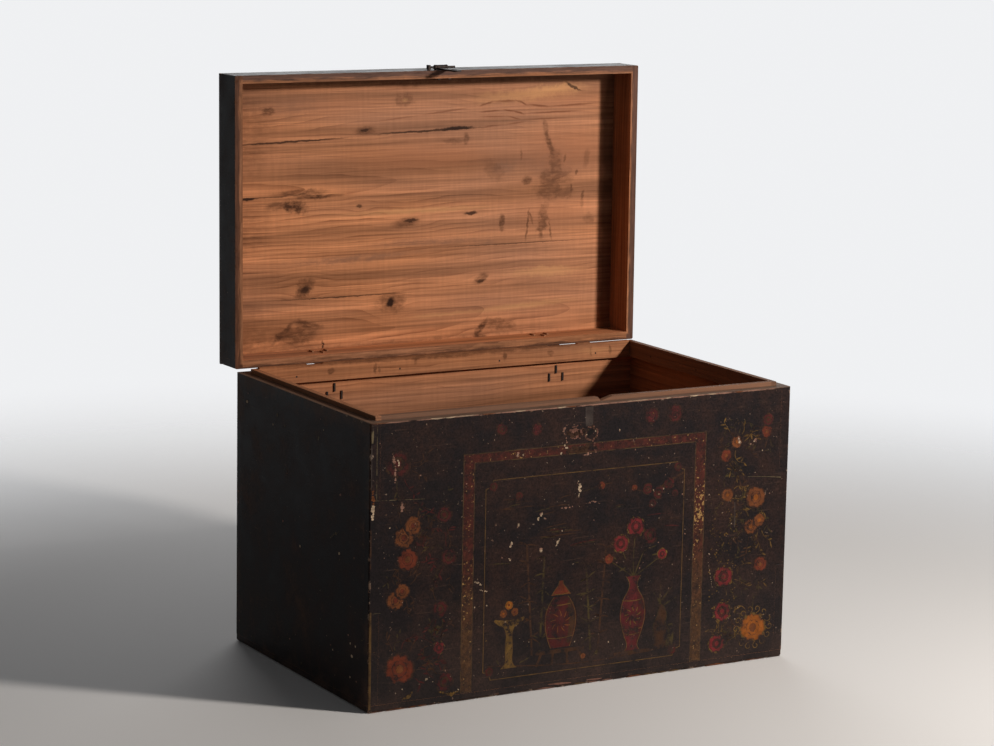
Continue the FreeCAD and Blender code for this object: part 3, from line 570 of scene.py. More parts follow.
# %% Lid top: one list of marks for each board
# Each mark is (kind, x, distance up from the hinge side, half length, half width, turn, amount), in mm and degrees.
LID_MARKS = {
    "lid_front_board": [
        # Painted sheen: the two bright marks at x = 200 and 262 near the top, where the lamp's light lies brightest on
        # the panel.
        ("bright", 200, 447, 150, 18, 2, 0.5), ("bright", 262, 456, 90, 15, 4, 0.7),
        ("plain", 285, 345, 150, 62, 0, 0.7), ("grey", 255, 325, 100, 60, 0, 0.3), ("plain", 0, 345, 240, 40, 0, 0.5),
        ("plain", 250, 438, 130, 30, 0, 0.4), ("plain", -200, 440, 160, 26, 0, 0.35),
        ("grain", 121, 435, 24, 2.8, 15, 0.7), ("grain", 160, 438.5, 34, 2.8, 0, 0.75),
        ("grain", 193, 434.5, 20, 2.6, -22, 0.75), ("grain", 228, 428.5, 32, 3.0, -7, 0.75),
        ("grain", 300, 428, 76, 2.8, 2, 0.7), ("grain", 128, 421.5, 30, 2.4, 4, 0.7),
        ("grain", 166, 421.5, 20, 2.4, -8, 0.75), ("grain", 187, 417.5, 18, 2.6, -15, 0.8),
        ("grain", 262, 416, 84, 2.4, 1, 0.75), ("grain", 135, 411.5, 38, 2.2, -1, 0.6),
        ("grain", 177, 408, 20, 2.2, -13, 0.7), ("grain", 240, 404.6, 66, 2.0, 0, 0.55),
        ("grain", 128, 394.5, 34, 2.4, 4, 0.5), ("grain", 180, 398.5, 32, 2.4, 5, 0.55),
        ("grain", 40, 424, 70, 2.4, 6, 0.55), ("grain", -60, 414, 60, 2.0, 5, 0.45),
        ("grey", 155, 318, 30, 20, 0, 0.5), ("grey", -260, 440, 90, 30, 8, 0.35),
        # The broad mark at x = -370 makes the board darker towards the lid's left end; so do those at x = -370 and -360
        # on the second and back boards.
        ("stain", -370, 390, 90, 110, 0, 0.35), ("stain", -310, 433, 18, 9, 0, 0.8),
        ("stain", -46, 446, 22, 15, 0, 0.5), ("bright", -46, 446, 9, 6, 0, 0.35),
        ("stain", -124, 395, 30, 10, 5, 0.6), ("knot", -124, 395, 14, 4, 8, 0.85),
        ("stain", -250, 290, 66, 8, 2, 0.75), ("crack", -268, 380, 145, 2.4, 1.6, 0.85),
        ("crack", -4, 390, 150, 2.6, 1.4, 0.8), ("crack", 60, 393, 48, 4.2, 1, 0.95),
        ("stain", 79, 374, 14, 8, 90, 0.6), ("stain", 55, 370, 34, 6, 0, 0.45), ("crack", 300, 461, 26, 3, -25, 0.8),
        ("stain", 243, 388, 20, 7.5, -84, 0.6), ("stain", 251, 360, 27, 8, -68, 0.7),
        ("stain", 264, 324, 40, 18, -80, 0.5), ("stain", 250, 290, 34, 26, 90, 0.55),
        ("stain", 279, 292, 26, 20, 20, 0.4), ("stain", 206, 294, 13, 11, 0, 0.7), ("stain", 310, 305, 6, 4, 80, 0.6),
        # Painted shadow: the band at x = 381 is the right rail's shadow on the panel, and the long one 486 up is the
        # front rail's.
        ("grime", 381, 385, 160, 24, 90, 0.5), ("grime", 0, 486, 480, 14, 0, 0.55),
        ("stain", 285, 332, 10, 4, 80, 0.5), ("stain", 192, 341, 14, 3, 90, 0.35),
        ("stain", 139, 312, 34, 20, -40, 0.3), ("stain", 330, 330, 24, 8, 80, 0.3),
    ],
    "lid_second_board": [
        # Painted shadow of the right rail, at x = 381.
        ("grime", 381, 238, 120, 24, 90, 0.5), ("bright", -20, 249, 210, 8, 0, 0.5),
        ("grey", 20, 192, 180, 9, 0, 0.6), ("stain", -370, 230, 80, 70, 0, 0.3),
        ("stain", -260, 267, 34, 15, -8, 0.95), ("stain", -297, 270, 26, 10, 8, 0.6),
        ("stain", -215, 284, 60, 8, 2, 0.85), ("crack", -350, 283.5, 24, 3.6, 2, 0.95),
        ("crack", -290, 286, 120, 1.9, 1, 0.7), ("knot", -134, 263, 9, 4, 0, 0.7),
        ("stain", -42, 229, 36, 11, 5, 0.6), ("knot", -31, 232, 20, 3.6, 3, 0.8), ("knot", 90, 240, 18, 4, 2, 0.9),
        ("stain", 154, 220, 22, 7, 90, 0.75), ("plain", 260, 236, 140, 40, 0, 0.45),
        ("stain", 250, 276, 34, 24, 0, 0.55), ("stain", 282, 270, 28, 14, 0, 0.45),
        ("stain", 298, 277, 11, 3.5, 84, 0.55), ("stain", 322, 262, 12, 3.5, 80, 0.55),
        ("stain", 239, 216, 44, 13, 82, 0.62), ("stain", 207, 214, 38, 3, 83, 0.65),
        ("stain", 215, 225, 17, 3, -73, 0.65), ("stain", 256, 202, 24, 3, 96, 0.6),
        ("stain", 339, 219, 15, 13, 0, 0.35), ("stain", 321, 248, 12, 5, 90, 0.3), ("grey", 126, 184, 26, 9, 0, 0.5),
    ],
    "lid_third_board": [
        ("grey", -150, 170, 210, 11, 2, 0.6), ("bright", 250, 126, 120, 13, 0, 0.45),
        ("stain", -240, 123, 28, 17, 50, 0.75), ("knot", -238, 119, 14, 9, 40, 0.85),
        ("stain", 113, 121, 22, 10, 30, 0.6), ("knot", 113, 117, 13, 4, 0, 0.75),
        # Painted shadow of the right rail, at x = 381.
        ("crack", 180, 181, 190, 1.8, 0, 0.6), ("grime", 381, 145, 120, 24, 90, 0.5),
    ],
    "lid_back_board": [
        ("bright", 200, 66, 150, 9, 3, 0.45), ("bright", 40, 60, 120, 6, 2, 0.35), ("stain", -70, 88, 38, 22, 0, 0.6),
        ("knot", -72, 88, 13, 10, 40, 1.0), ("stain", -254, 40, 48, 22, 8, 0.6), ("stain", -282, 46, 34, 7, 42, 0.8),
        ("stain", -232, 58, 40, 8, -15, 0.75), ("stain", 112, 30, 28, 8, 48, 0.85),
        ("stain", 152, 34, 48, 14, -8, 0.55), ("stain", 112, 15, 18, 6, 0, 0.85),
        ("crack", -203, 20, 11, 2.4, 80, 0.95), ("crack", -165, 104, 160, 1.8, 0, 0.8),
        # Painted shadow of the right rail, at x = 381.
        ("grime", 381, 60, 120, 24, 90, 0.5), ("stain", 0, 6, 420, 16, 0, 0.4), ("stain", -300, 24, 120, 46, 0, 0.36),
        ("stain", -360, 60, 50, 70, 0, 0.25),
    ],
}
print("marks on the lid:", sum(map(len, LID_MARKS.values())))

# %% Lid top
# Pith and tone of each board, and where its rings swell: x, distance up, half length, half width, turn, lift.
LID_FIGURE = {
    "lid_front_board": (-0.30, 1.1, [(159, 436, 170, 44, 0, -14), (-200, 430, 150, 40, 0, 8)]),
    "lid_second_board": (-0.08, 1.2, [(-30, 226, 110, 30, 0, -8)]),
    "lid_third_board": (-0.33, 1.25, []),
    "lid_back_board": (-0.05, 1.25, [(150, 40, 130, 60, 0, 10)]),
}
TOP_BARE = ("Z", -1, -0.0614)
HINGE_SIDE = -1000 * LID_BOX[1][1]
for board, measured in LID_MARKS.items():
    pith, tone, swells = LID_FIGURE[board]
    # Up the open lid is towards -y on the shut lid.
    marks = [(kind, x, -up - HINGE_SIDE, *sizes, -turn, amount) for kind, x, up, *sizes, turn, amount in measured]
    swells = [(x, -up - HINGE_SIDE, *rest) for x, up, *rest in swells]
    figure = {"pith": pith, "drift": 0.05, "tone": tone, "marks": marks, "swells": swells}
    dress(board, board_material(f"lacquered_pine_{board}", True, "XYZ", TOP_BARE, seams=LID_SEAMS, **figure))
print("lid boards dressed:", len(LID_FIGURE))

# %% Lid rails
LID_RIM = -0.0019
LID_RAILS = {
    # grain, bare side, the rim's colour and its reach, how dark the bare side is (painted shade on the front rail)
    # The front rail's inner face turns down in the open lid, so its low value is painted shade.
    "lid_front_rail": ("XZY", ("Y", 1, -0.4915), "#6F4F42", 0.009, 0.25),
    "lid_back_rail": ("XZY", ("Y", -1, 0.0184), "#6A4634", 0.004, 1.2),
    "lid_left_rail": ("YZX", ("X", 1, -0.38605), "#6A4431", 0.008, 0.8),
    "lid_right_rail": ("YZX", ("X", -1, -0.38605), "#6A493B", 0.011, 0.9),
}
for rail, (grain, bare_side, code, reach, inner) in LID_RAILS.items():
    rim = ("Z", -1, LID_RIM, code, reach)
    figure = {"pith": 0.15, "drift": 0.03, "tone": 0.88}
    dress(rail, board_material(f"lacquered_pine_{rail}", True, grain, bare_side, rim, LID_SEAMS, inner=inner, **figure))
print("lid rails dressed:", len(LID_RAILS))

# %% [markdown]
# ## Bare wood and iron
# Battens, bottom boards and pegs have no lacquer. The battens are greyed by handling. The iron has been forged
# and has rusted, so it is brown-black and rough and hardly looks metallic any more.

# %% Bare pine and forged iron
HANDLED_WOOD = srgb("#6B564A")


def bare_pine(name, grain, worn=0.0, tone=0.85, marks=()):
    """Pine without lacquer. worn mixes in the grey-brown of handled wood."""
    material, tree = new_material(name)
    _, place = along_grain(tree, add(tree, "TexCoord", out="Object"), grain)
    wood, height = pine_figure(tree, place, pith=0.6, depth=0.02, drift=0.02, tone=tone, marks=marks)
    colour = add(tree, "Mix", {0: worn, 6: wood, 7: HANDLED_WOOD}, **RGBA)
    bump = add(tree, "Bump", {"Height": height, **WOOD_BUMP})
    close_material(tree, Base_Color=colour, Roughness=0.65, Normal=bump, Specular_IOR_Level=0.1)
    return material


def forged_iron(name, metal, tips=None):
    """Rusted iron. tips is a height and the colour of nail tips above it, which have taken on the wood's brown."""
    material, tree = new_material(name)
    point = add(tree, "TexCoord", out="Object")
    # Scale pits about 4 mm apart.
    rust = add(tree, "TexNoise", {"Vector": point, "Scale": 260.0, "Detail": 5.0, "Roughness": 0.7})
    tone = add(tree, "MapRange", {0: rust, 1: 0.4, 2: 0.65})
    colour = add(tree, "Mix", {0: tone, 6: srgb("#1F1917"), 7: srgb("#3D2A20")}, **RGBA)
    if tips:
        height = add(tree, "SeparateXYZ", {0: point}, out="Z")
        inside = add(tree, "Math", {0: height, 1: tips[0]}, operation="GREATER_THAN")
        colour = add(tree, "Mix", {0: inside, 6: colour, 7: srgb(tips[1])}, **RGBA)
    bump = add(tree, "Bump", {"Height": rust, "Strength": 0.6, "Distance": 0.0006})
    close_material(tree, Base_Color=colour, Metallic=metal, Roughness=0.6, Normal=bump)
    return material


print("handled wood in linear light:", [round(channel, 2) for channel in HANDLED_WOOD[:3]])

# %% Battens, bottom, pegs and iron
clean_long = bare_pine("bare_pine_long", "XZY")
iron = forged_iron("forged_iron", 0.5)
nail_iron = forged_iron("rusted_nail_iron", 0.0, tips=(0.478, "#97643F"))
# The back batten is dark along its top and has drips: kind, x, height, half sizes, turn, amount, as on the lid.
back_batten = bare_pine("stained_pine_back", "XZY", tone=0.8, marks=[
    ("stain", 0, 480, 420, 7, 0, 0.6), ("stain", -148, 465, 12, 4, 88, 0.6), ("stain", -140, 463, 10, 3, 92, 0.5),
    ("stain", -234, 466, 9, 7, 0, 0.7), ("stain", -68, 472, 8, 4, 80, 0.5), ("stain", 111, 468, 10, 5, 90, 0.6),
    ("stain", 206, 468, 9, 7, 0, 0.6), ("stain", 290, 465, 12, 3, 90, 0.5), ("stain", 330, 465, 12, 4, 90, 0.6),
    ("bright", 300, 466, 60, 8, 0, 0.25),
])
dress("lip_back", back_batten)
dress("lip_front", bare_pine("handled_pine_long", "XZY", worn=0.65))
# The left batten's raised tone is painted light: its outer face, turned away from the lamp, is made to look lit. Its
# grey-brown is handling.
dress("lip_left", bare_pine("handled_lit_pine_side", "YZX", worn=0.35, tone=1.15))
# The right batten's low tone is painted shade: its visible face is turned away from the lamp. Its grey-brown is
# handling.
dress("lip_right", bare_pine("handled_shaded_pine_right", "YZX", worn=0.5, tone=0.6))
BOTTOM_BARE = ("Z", 1, 0.0119)
for node in nodes:
    if node.startswith("bottom_") and node.endswith("board"):
        dress(node, board_material(f"lacquered_pine_{node}", False, "XYZ", BOTTOM_BARE, pith=0.5))
    elif "peg" in node or node.endswith("corner_pins"):
        dress(node, clean_long)
    elif node.endswith("upper_nails"):
        dress(node, nail_iron)
    elif node.startswith(("hinge", "hasp")) or node.endswith("nails"):
        dress(node, iron)
print("nodes dressed:", sum(bool(nodes[node].data.materials) for node in nodes))

# %% [markdown]
# ## The back batten's uneven top
# The batten along the back was planed by hand. Its top rises and falls by a millimetre or two, so light shows under
# the open lid only in places. A displaced grid could do this, but a long strip with many cuts is enough: a cube as
# long as the batten is cut across, and the cuts are moved down.

# %% Back batten's uneven top
LIGHT_SLITS = ((-279, -248), (204, 258), (296, 372))
SLIT_DEPTH, UNEVENNESS = 0.0046, 0.0005
STRIP_HEIGHT, SUNK = 0.0058, 0.0035
SHORT_OF_ENDS, SHORT_OF_SIDES = 0.004, 0.002


def apply_place():
    """Put the selected piece's place, turn and size into its mesh."""
    bpy.ops.object.transform_apply(location=True, rotation=True, scale=True)


def modify(piece, kind, **settings):
    """Give the active piece a modifier and apply it."""
    bpy.ops.object.modifier_add(type=kind)
    modifier = piece.modifiers[-1]
    for name, value in settings.items():
        setattr(modifier, name, value)
    bpy.ops.object.modifier_apply(modifier=modifier.name)


batten_low, batten_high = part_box("lip_back")
size = batten_high - batten_low
select_only()
bpy.ops.mesh.primitive_cube_add(size=1.0)
strip = bpy.context.object
strip.name = strip.data.name = "back_batten_top"
strip.scale = (size.x - SHORT_OF_ENDS, size.y - SHORT_OF_SIDES, STRIP_HEIGHT)
strip.location = (batten_low + batten_high) / 2
strip.location.z = batten_high.z - SUNK + STRIP_HEIGHT / 2
apply_place()
for edge in strip.data.edges:
    start, end = (strip.data.vertices[index].co for index in edge.vertices)
    edge.select = abs(start.x - end.x) > size.x / 2
for part in (*strip.data.vertices, *strip.data.polygons):
    part.select = False
# Edge mode comes first: in vertex mode, the long edges' corners would select the whole strip.
bpy.context.tool_settings.mesh_select_mode = (False, True, False)
bpy.ops.object.mode_set(mode="EDIT")
bpy.ops.mesh.subdivide(number_cuts=90)
bpy.ops.object.mode_set(mode="OBJECT")
plane = random.Random(8)
dips = {}
for vertex in strip.data.vertices:
    if vertex.co.z > batten_high.z:
        along = round(1000 * vertex.co.x)
        in_slit = any(start < along < end for start, end in LIGHT_SLITS)
        dips.setdefault(along, SLIT_DEPTH if in_slit else plane.uniform(0.0, UNEVENNESS))
        vertex.co.z -= dips[along]
modify(strip, "BEVEL", width=0.0002, segments=2)
strip.data.materials.append(back_batten)
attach(strip, "chest")
print("batten top:", len(strip.data.vertices), "corners,", len(LIGHT_SLITS), "slits")

# %% [markdown]
# ## Paints for the ornament
# The ornament was painted over the lacquer with a few earth colours and reds, and has been rubbed for a century.
# Every paint is the same kind of film: a colour that is uneven in itself, worn through in patches. Where it is worn,
# its material shows the very lacquer that lies below it, so the film has no visible end. One function makes all
# paints, and only colour and wear differ. A wash, for round blossoms, also thins out towards its rim.

# %% Paint
def lacquer_below(tree):
    """A point on the front, its height, and the colour of the lacquer there."""
    point = add(tree, "TexCoord", out="Object")
    parts, place = along_grain(tree, point, "XZY")
    lacquer, _, _ = lacquer_coat(tree, point, place, edge_distance(tree, point, *BODY_BOX), NO_SEAMS)
    return point, parts["Z"], lacquer


def old_paint(name, code, wear, wash=False):
    """Tempera worn through to the lacquer. wear is about the share that shows lacquer."""
    material, tree = new_material(name)
    point, _, lacquer = lacquer_below(tree)
    # Patches of about 15 mm, broken up to about 1 mm, which is as fine as the picture shows.
    rub = add(tree, "TexNoise", {"Vector": point, "Scale": 65.0, "Detail": 7.0, "Roughness": 0.78})
    if wash:
        uv = add(tree, "TexCoord", out="UV")
        rim = add(tree, "VectorMath", {0: uv, 1: (0.5, 0.5, 0)}, out="Value", operation="DISTANCE")
        thin = add(tree, "MapRange", {0: rim, 1: 0.4, 2: 0.5, 3: 0.0, 4: 0.15})
        rub = add(tree, "Math", {0: rub, 1: thin}, operation="ADD")
    limit = 0.5 + 0.4 * (0.5 - wear)
    worn = add(tree, "MapRange", {0: rub, 1: limit - 0.09, 2: limit + 0.09, 3: 0.1, 4: 1.0})
    # The colour itself is uneven over about 8 mm.
    shade = add(tree, "TexNoise", {"Vector": point, "Scale": 130.0, "Detail": 4.0, "Roughness": 0.65})
    tone = add(tree, "MapRange", {0: shade, 1: 0.3, 2: 0.7, 3: 0.5, 4: 1.4})
    tinted = add(tree, "VectorMath", {0: srgb(code)[:3], "Scale": tone}, operation="SCALE")
    colour = add(tree, "Mix", {0: worn, 6: tinted, 7: lacquer}, **RGBA)
    close_material(tree, Base_Color=colour, Roughness=0.6, Specular_IOR_Level=0.1)
    return material


COLOURS = {
    # name: colour, wear
    "crimson": ("#7C2A2C", 0.43), "dark_red": ("#562321", 0.5), "brick": ("#733522", 0.42), "rust": ("#784526", 0.38),
    "orange": ("#94531F", 0.32), "amber": ("#A56C27", 0.36), "ochre": ("#80602F", 0.52), "olive": ("#534628", 0.58),
    "umber": ("#4C3221", 0.52), "cream": ("#C4AA8E", 0.26), "pink": ("#A47A68", 0.38), "line": ("#8A7A5C", 0.56),
    "grey": ("#4A403B", 0.4), "black": ("#120E0D", 0.05), "clay": ("#80594B", 0.3), "madder": ("#652628", 0.5),
    "edging": ("#664C2B", 0.36), "band_edge": ("#5C452B", 0.46),
}
PAINTS = {name: old_paint(name + "_tempera", *colour) for name, colour in COLOURS.items()}
WASHES = {name: old_paint(name + "_tempera_wash", *colour, wash=True) for name, colour in COLOURS.items()}
print("paints:", len(PAINTS), "and as many washes")

# %% [markdown]
# ## Tools of the painter: the petal disc and the brush stroke
# A blossom seen from above is a disc with a scalloped edge. It starts as a circle: every other corner is drawn in,
# the outer corners are rounded by a vertex bevel, and a random shake takes away the look of a stamp. A whole blossom
# is a stack of such discs, each smaller than the one below. A brush stroke is a curve whose radius swells and thins,
# bevelled to a bead and then pressed flat. Both lie on the front as thin films, less than half a millimetre in all.

# %% Petal disc
FRONT = BODY_BOX[0][1]
FILM = 0.00002


def petal_disc(name, petals, notch, rounding, shake, seed):
    """A flat ragged disc of radius 1. Its UV map still has the circle's rim at 0.5, for the washes."""
    select_only()
    bpy.ops.mesh.primitive_circle_add(vertices=2 * petals, radius=1.0, fill_type="NGON")
    disc = bpy.context.object
    disc.name = name
    disc.data.materials.append(None)
    for pick in ("notch", "tip"):
        bpy.ops.object.mode_set(mode="OBJECT")
        for vertex in disc.data.vertices:
            vertex.select = (vertex.index % 2 == 0) == (pick == "tip")
        for part in (*disc.data.edges, *disc.data.polygons):
            part.select = False
        bpy.ops.object.mode_set(mode="EDIT")
        bpy.ops.mesh.select_mode(type="VERT")
        if pick == "notch":
            bpy.ops.transform.resize(value=(notch, notch, 1))
        else:
            bpy.ops.mesh.bevel(offset=rounding, offset_type="OFFSET", segments=5, affect="VERTICES")
    bpy.ops.mesh.select_mode(type="FACE")
    bpy.ops.mesh.select_all(action="SELECT")
    bpy.ops.mesh.poke()
    bpy.ops.transform.vertex_random(offset=shake, uniform=1.0, seed=seed)
    bpy.ops.transform.resize(value=(1, 1, 0), center_override=(0, 0, 0))
    bpy.ops.object.mode_set(mode="OBJECT")
    modify(disc, "SOLIDIFY", thickness=FILM / 4, offset=1)
    return disc


blossom = petal_disc("blossom", petals=5, notch=0.78, rounding=0.5, shake=0.08, seed=3)
rose = petal_disc("rose", petals=8, notch=0.86, rounding=0.32, shake=0.06, seed=5)
print("faces of a disc:", len(blossom.data.polygons), "and", len(rose.data.polygons))

# %% Blossom
DISC_SHARES = (1.0, 0.86, 0.5, 0.26)
DISC_TURN = 28
FLATTENED = 0.94
ROSE_RADIUS = 16


def lay(template, x, z, radius, material, layer, turn):
    """Copy a disc onto the front at (x, z), in mm."""
    select_only(template)
    bpy.ops.object.duplicate()
    copy = bpy.context.object
    copy.data.materials[0] = material
    copy.scale = (radius / 1000, radius * FLATTENED / 1000, 1)
    copy.rotation_euler = (math.pi / 2, math.radians(turn), 0)
    copy.location = (x / 1000, FRONT - layer * FILM, z / 1000)
    apply_place()
    return copy


def bloom(x, z, radius, paints, layer, turn):
    """A blossom of discs in these paints, from the outline to the heart. Large ones have more petals."""
    template = rose if radius > ROSE_RADIUS else blossom
    discs = []
    for number, (paint, share) in enumerate(zip(paints, DISC_SHARES)):
        wash = WASHES[paint]
        discs.append(lay(template, x, z, radius * share, wash, layer + 0.25 * number, turn + DISC_TURN * number))
    return discs


def join(name, pieces):
    """Make one painted piece of many and let it move with the chest."""
    select_only(*pieces)
    if len(pieces) > 1:
        bpy.ops.object.join()
    pieces[0].name = pieces[0].data.name = name
    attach(pieces[0], "chest")
    print(name, "from", len(pieces), "pieces:", len(pieces[0].data.polygons), "faces")


print("discs in a blossom:", len(DISC_SHARES))

# %% Brush stroke
PRESSED = 0.0005
strokes = {}
# How a wall's strokes are turned from the front's drawing plane, and where that wall's surface is.
WALL_TURNS = {
    "front": (0, (0, FRONT, 0)), "back": (180, (0, BODY_BOX[1][1], 0)),
    "left": (-90, (BODY_BOX[0][0], 0, 0)), "right": (90, (BODY_BOX[1][0], 0, 0)),
}


def stroke(points, paint, layer=1, kind="NURBS", closed=False):
    """Note one stroke of the brush through (x, z, half width) in mm. Strokes of one paint are pressed together."""
    strokes.setdefault((paint, layer), []).append((points, kind, closed))


def bead_curve(name, noted):
    """A curve with a round bead along each noted stroke, made a mesh."""
    path = bpy.data.curves.new(name, "CURVE")
    path.dimensions = "3D"
    path.bevel_depth = 1.0
    path.bevel_resolution = 1
    path.resolution_u = 5
    path.use_fill_caps = True
    for points, kind, closed in noted:
        spline = path.splines.new(kind)
        spline.points.add(len(points) - 1)
        for point, (x, z, half) in zip(spline.points, points):
            point.co = (x / 1000, 0, z / 1000, 1)
            point.radius = half / 1000
        spline.use_cyclic_u = closed
        if kind == "NURBS":
            spline.order_u = 3
            spline.use_endpoint_u = not closed
    bead = bpy.data.objects.new(name, path)
    bpy.context.scene.collection.objects.link(bead)
    select_only(bead)
    bpy.ops.object.convert(target="MESH")
    bpy.ops.object.shade_flat()
    return bpy.context.object


def press_strokes(name, wall="front"):
    """Turn the noted strokes into one flat painted piece on a wall."""
    beads = []
    turn, surface = WALL_TURNS[wall]
    for (paint, layer), noted in strokes.items():
        bead = bead_curve(name, noted)
        bead.scale = (1, PRESSED, 1)
        bead.location = (0, -layer * FILM, 0)
        apply_place()
        bead.rotation_euler = (0, 0, math.radians(turn))
        bead.location = surface
        apply_place()
        bead.data.materials.clear()
        bead.data.materials.append(PAINTS[paint])
        beads.append(bead)
    strokes.clear()
    join(name, beads)


print("walls to paint on:", ", ".join(WALL_TURNS))

# %% [markdown]
# ## The painted bands
# A broad red-brown band runs up, over and down the front like a doorway, edged with thin lines. It starts as one
# rectangle whose inset makes a border all round. The inner field and the bottom bar go, and a second inset gives
# the edging. Inside stands a thin ochre frame with nipped corners, drawn as one stroke.

# %% Paint of the doorway band
# Where the speckle is dense, and how dense: on the right leg near z = 268 mm, and weaker on the left one.
SPECKLED = (((0.225, FRONT, 0.268), 0.13), ((-0.222, FRONT, 0.2), 0.06))


def band_material():
    """Red-brown tempera that turns ochre towards the floor, with a dense ochre speckle on both legs."""
    material, tree = new_material("red_brown_tempera_band")
    point, z, lacquer = lacquer_below(tree)
    drift = add(tree, "TexNoise", {"Vector": point, "Scale": 22.0, "Detail": 4.0})
    height = add(tree, "Math", {0: drift, 1: 0.2, 2: z}, operation="MULTIPLY_ADD")
    low = add(tree, "MapRange", {0: height, 1: 0.36, 2: 0.2})
    base = add(tree, "Mix", {0: low, 6: srgb("#4E241D"), 7: srgb("#563B26")}, **RGBA)
    shade = add(tree, "TexNoise", {"Vector": point, "Scale": 150.0, "Detail": 4.0, "Roughness": 0.7})
    shade = add(tree, "MapRange", {0: shade, 1: 0.3, 2: 0.7, 3: 0.55, 4: 1.35})
    base = add(tree, "VectorMath", {0: base, "Scale": shade}, operation="SCALE")
    rub = add(tree, "TexNoise", {"Vector": point, "Scale": 60.0, "Detail": 7.0, "Roughness": 0.8})
    worn = add(tree, "MapRange", {0: rub, 1: 0.42, 2: 0.62, 3: 0.1, 4: 0.95})
    colour = add(tree, "Mix", {0: worn, 6: base, 7: lacquer}, **RGBA)
    # Speckle: dabs of about 4 mm.
    dot = add(tree, "TexNoise", {"Vector": point, "Scale": 250.0, "Detail": 3.0})
    for centre, weight in SPECKLED:
        away = add(tree, "VectorMath", {0: point, 1: centre}, out="Value", operation="DISTANCE")
        dense = add(tree, "MapRange", {0: away, 1: 0.01, 2: 0.09, 3: weight, 4: 0.0})
        dot = add(tree, "Math", {0: dot, 1: dense}, operation="ADD")
    dot = add(tree, "MapRange", {0: dot, 1: 0.66, 2: 0.72, 3: 0.0, 4: 0.8})
    colour = add(tree, "Mix", {0: dot, 6: colour, 7: srgb("#A88350")}, **RGBA)
    close_material(tree, Base_Color=colour, Roughness=0.6, Specular_IOR_Level=0.1)
    return material


print("speckled places:", len(SPECKLED))

# %% Doorway band
BAND_LEFT, BAND_LOW, BAND_RIGHT, BAND_TOP = -0.232, 0.013, 0.232, 0.408
BAND_WIDTH, LINTEL_HEIGHT, EDGING_WIDTH = 0.0215, 0.0165, 0.0014
HAIR = 0.001

select_only()
bpy.ops.mesh.primitive_plane_add(size=1.0, rotation=(math.pi / 2, 0, 0))
band = bpy.context.object
band.scale = (BAND_RIGHT - BAND_LEFT, BAND_TOP - BAND_LOW, 1)
band.location = ((BAND_LEFT + BAND_RIGHT) / 2, FRONT - FILM, (BAND_LOW + BAND_TOP) / 2)
apply_place()
bpy.ops.object.mode_set(mode="EDIT")
bpy.ops.mesh.inset(thickness=BAND_WIDTH)
bpy.ops.mesh.delete(type="FACE")
bpy.ops.object.mode_set(mode="OBJECT")
for polygon in band.data.polygons:
    polygon.select = polygon.center.z < BAND_LOW + BAND_WIDTH
bpy.ops.object.mode_set(mode="EDIT")
bpy.ops.mesh.select_mode(type="FACE")
bpy.ops.mesh.delete(type="FACE")
bpy.ops.object.mode_set(mode="OBJECT")
for vertex in band.data.vertices:
    # The legs run on to the floor edge, and the lintel is thinner than the legs.
    if vertex.co.z < BAND_LOW + BAND_WIDTH + HAIR:
        vertex.co.z = BAND_LOW
    elif vertex.co.z < BAND_TOP - HAIR:
        vertex.co.z = BAND_TOP - LINTEL_HEIGHT
for slot_material in (band_material(), PAINTS["band_edge"]):
    band.data.materials.append(slot_material)
bpy.ops.object.mode_set(mode="EDIT")
bpy.ops.mesh.select_all(action="SELECT")
bpy.ops.mesh.inset(thickness=EDGING_WIDTH, use_boundary=True)
bpy.ops.mesh.select_all(action="INVERT")
band.active_material_index = 1
bpy.ops.object.material_slot_assign()
bpy.ops.object.mode_set(mode="OBJECT")
modify(band, "SOLIDIFY", thickness=FILM / 4)
join("painted_doorway_band", [band])

# %% Frame line
NIP = 14
FRAME_CORNERS = ((-190, 28, 1, 1), (190, 28, -1, 1), (190, 361, -1, -1), (-190, 361, 1, -1))
frame_line = []
for x, z, sx, sz in FRAME_CORNERS:
    nipped = ((0, NIP), (7, NIP - 2), (NIP - 2, 7), (NIP, 0))
    corner = [(x + sx * inward, z + sz * upward, 1.0) for inward, upward in nipped]
    frame_line += corner if sx * sz > 0 else corner[::-1]
stroke(frame_line, "edging", 1, "POLY", closed=True)
press_strokes("painted_frame_line")
corners = []
for x, z, turn in ((-176, 350, 0), (177, 352, 90), (-178, 42, 270), (174, 38, 180)):
    corners += bloom(x, z, 11, ("umber", "dark_red", "umber"), 2, turn)
join("painted_frame_corners", corners)

# %% [markdown]
# ## Flowers of the border
# Blossoms in reds and oranges stand in the side fields and over the doorway. Their places are measured. Between
# them, thin tendrils with small leaves fill the ground, most of them nearly rubbed away.

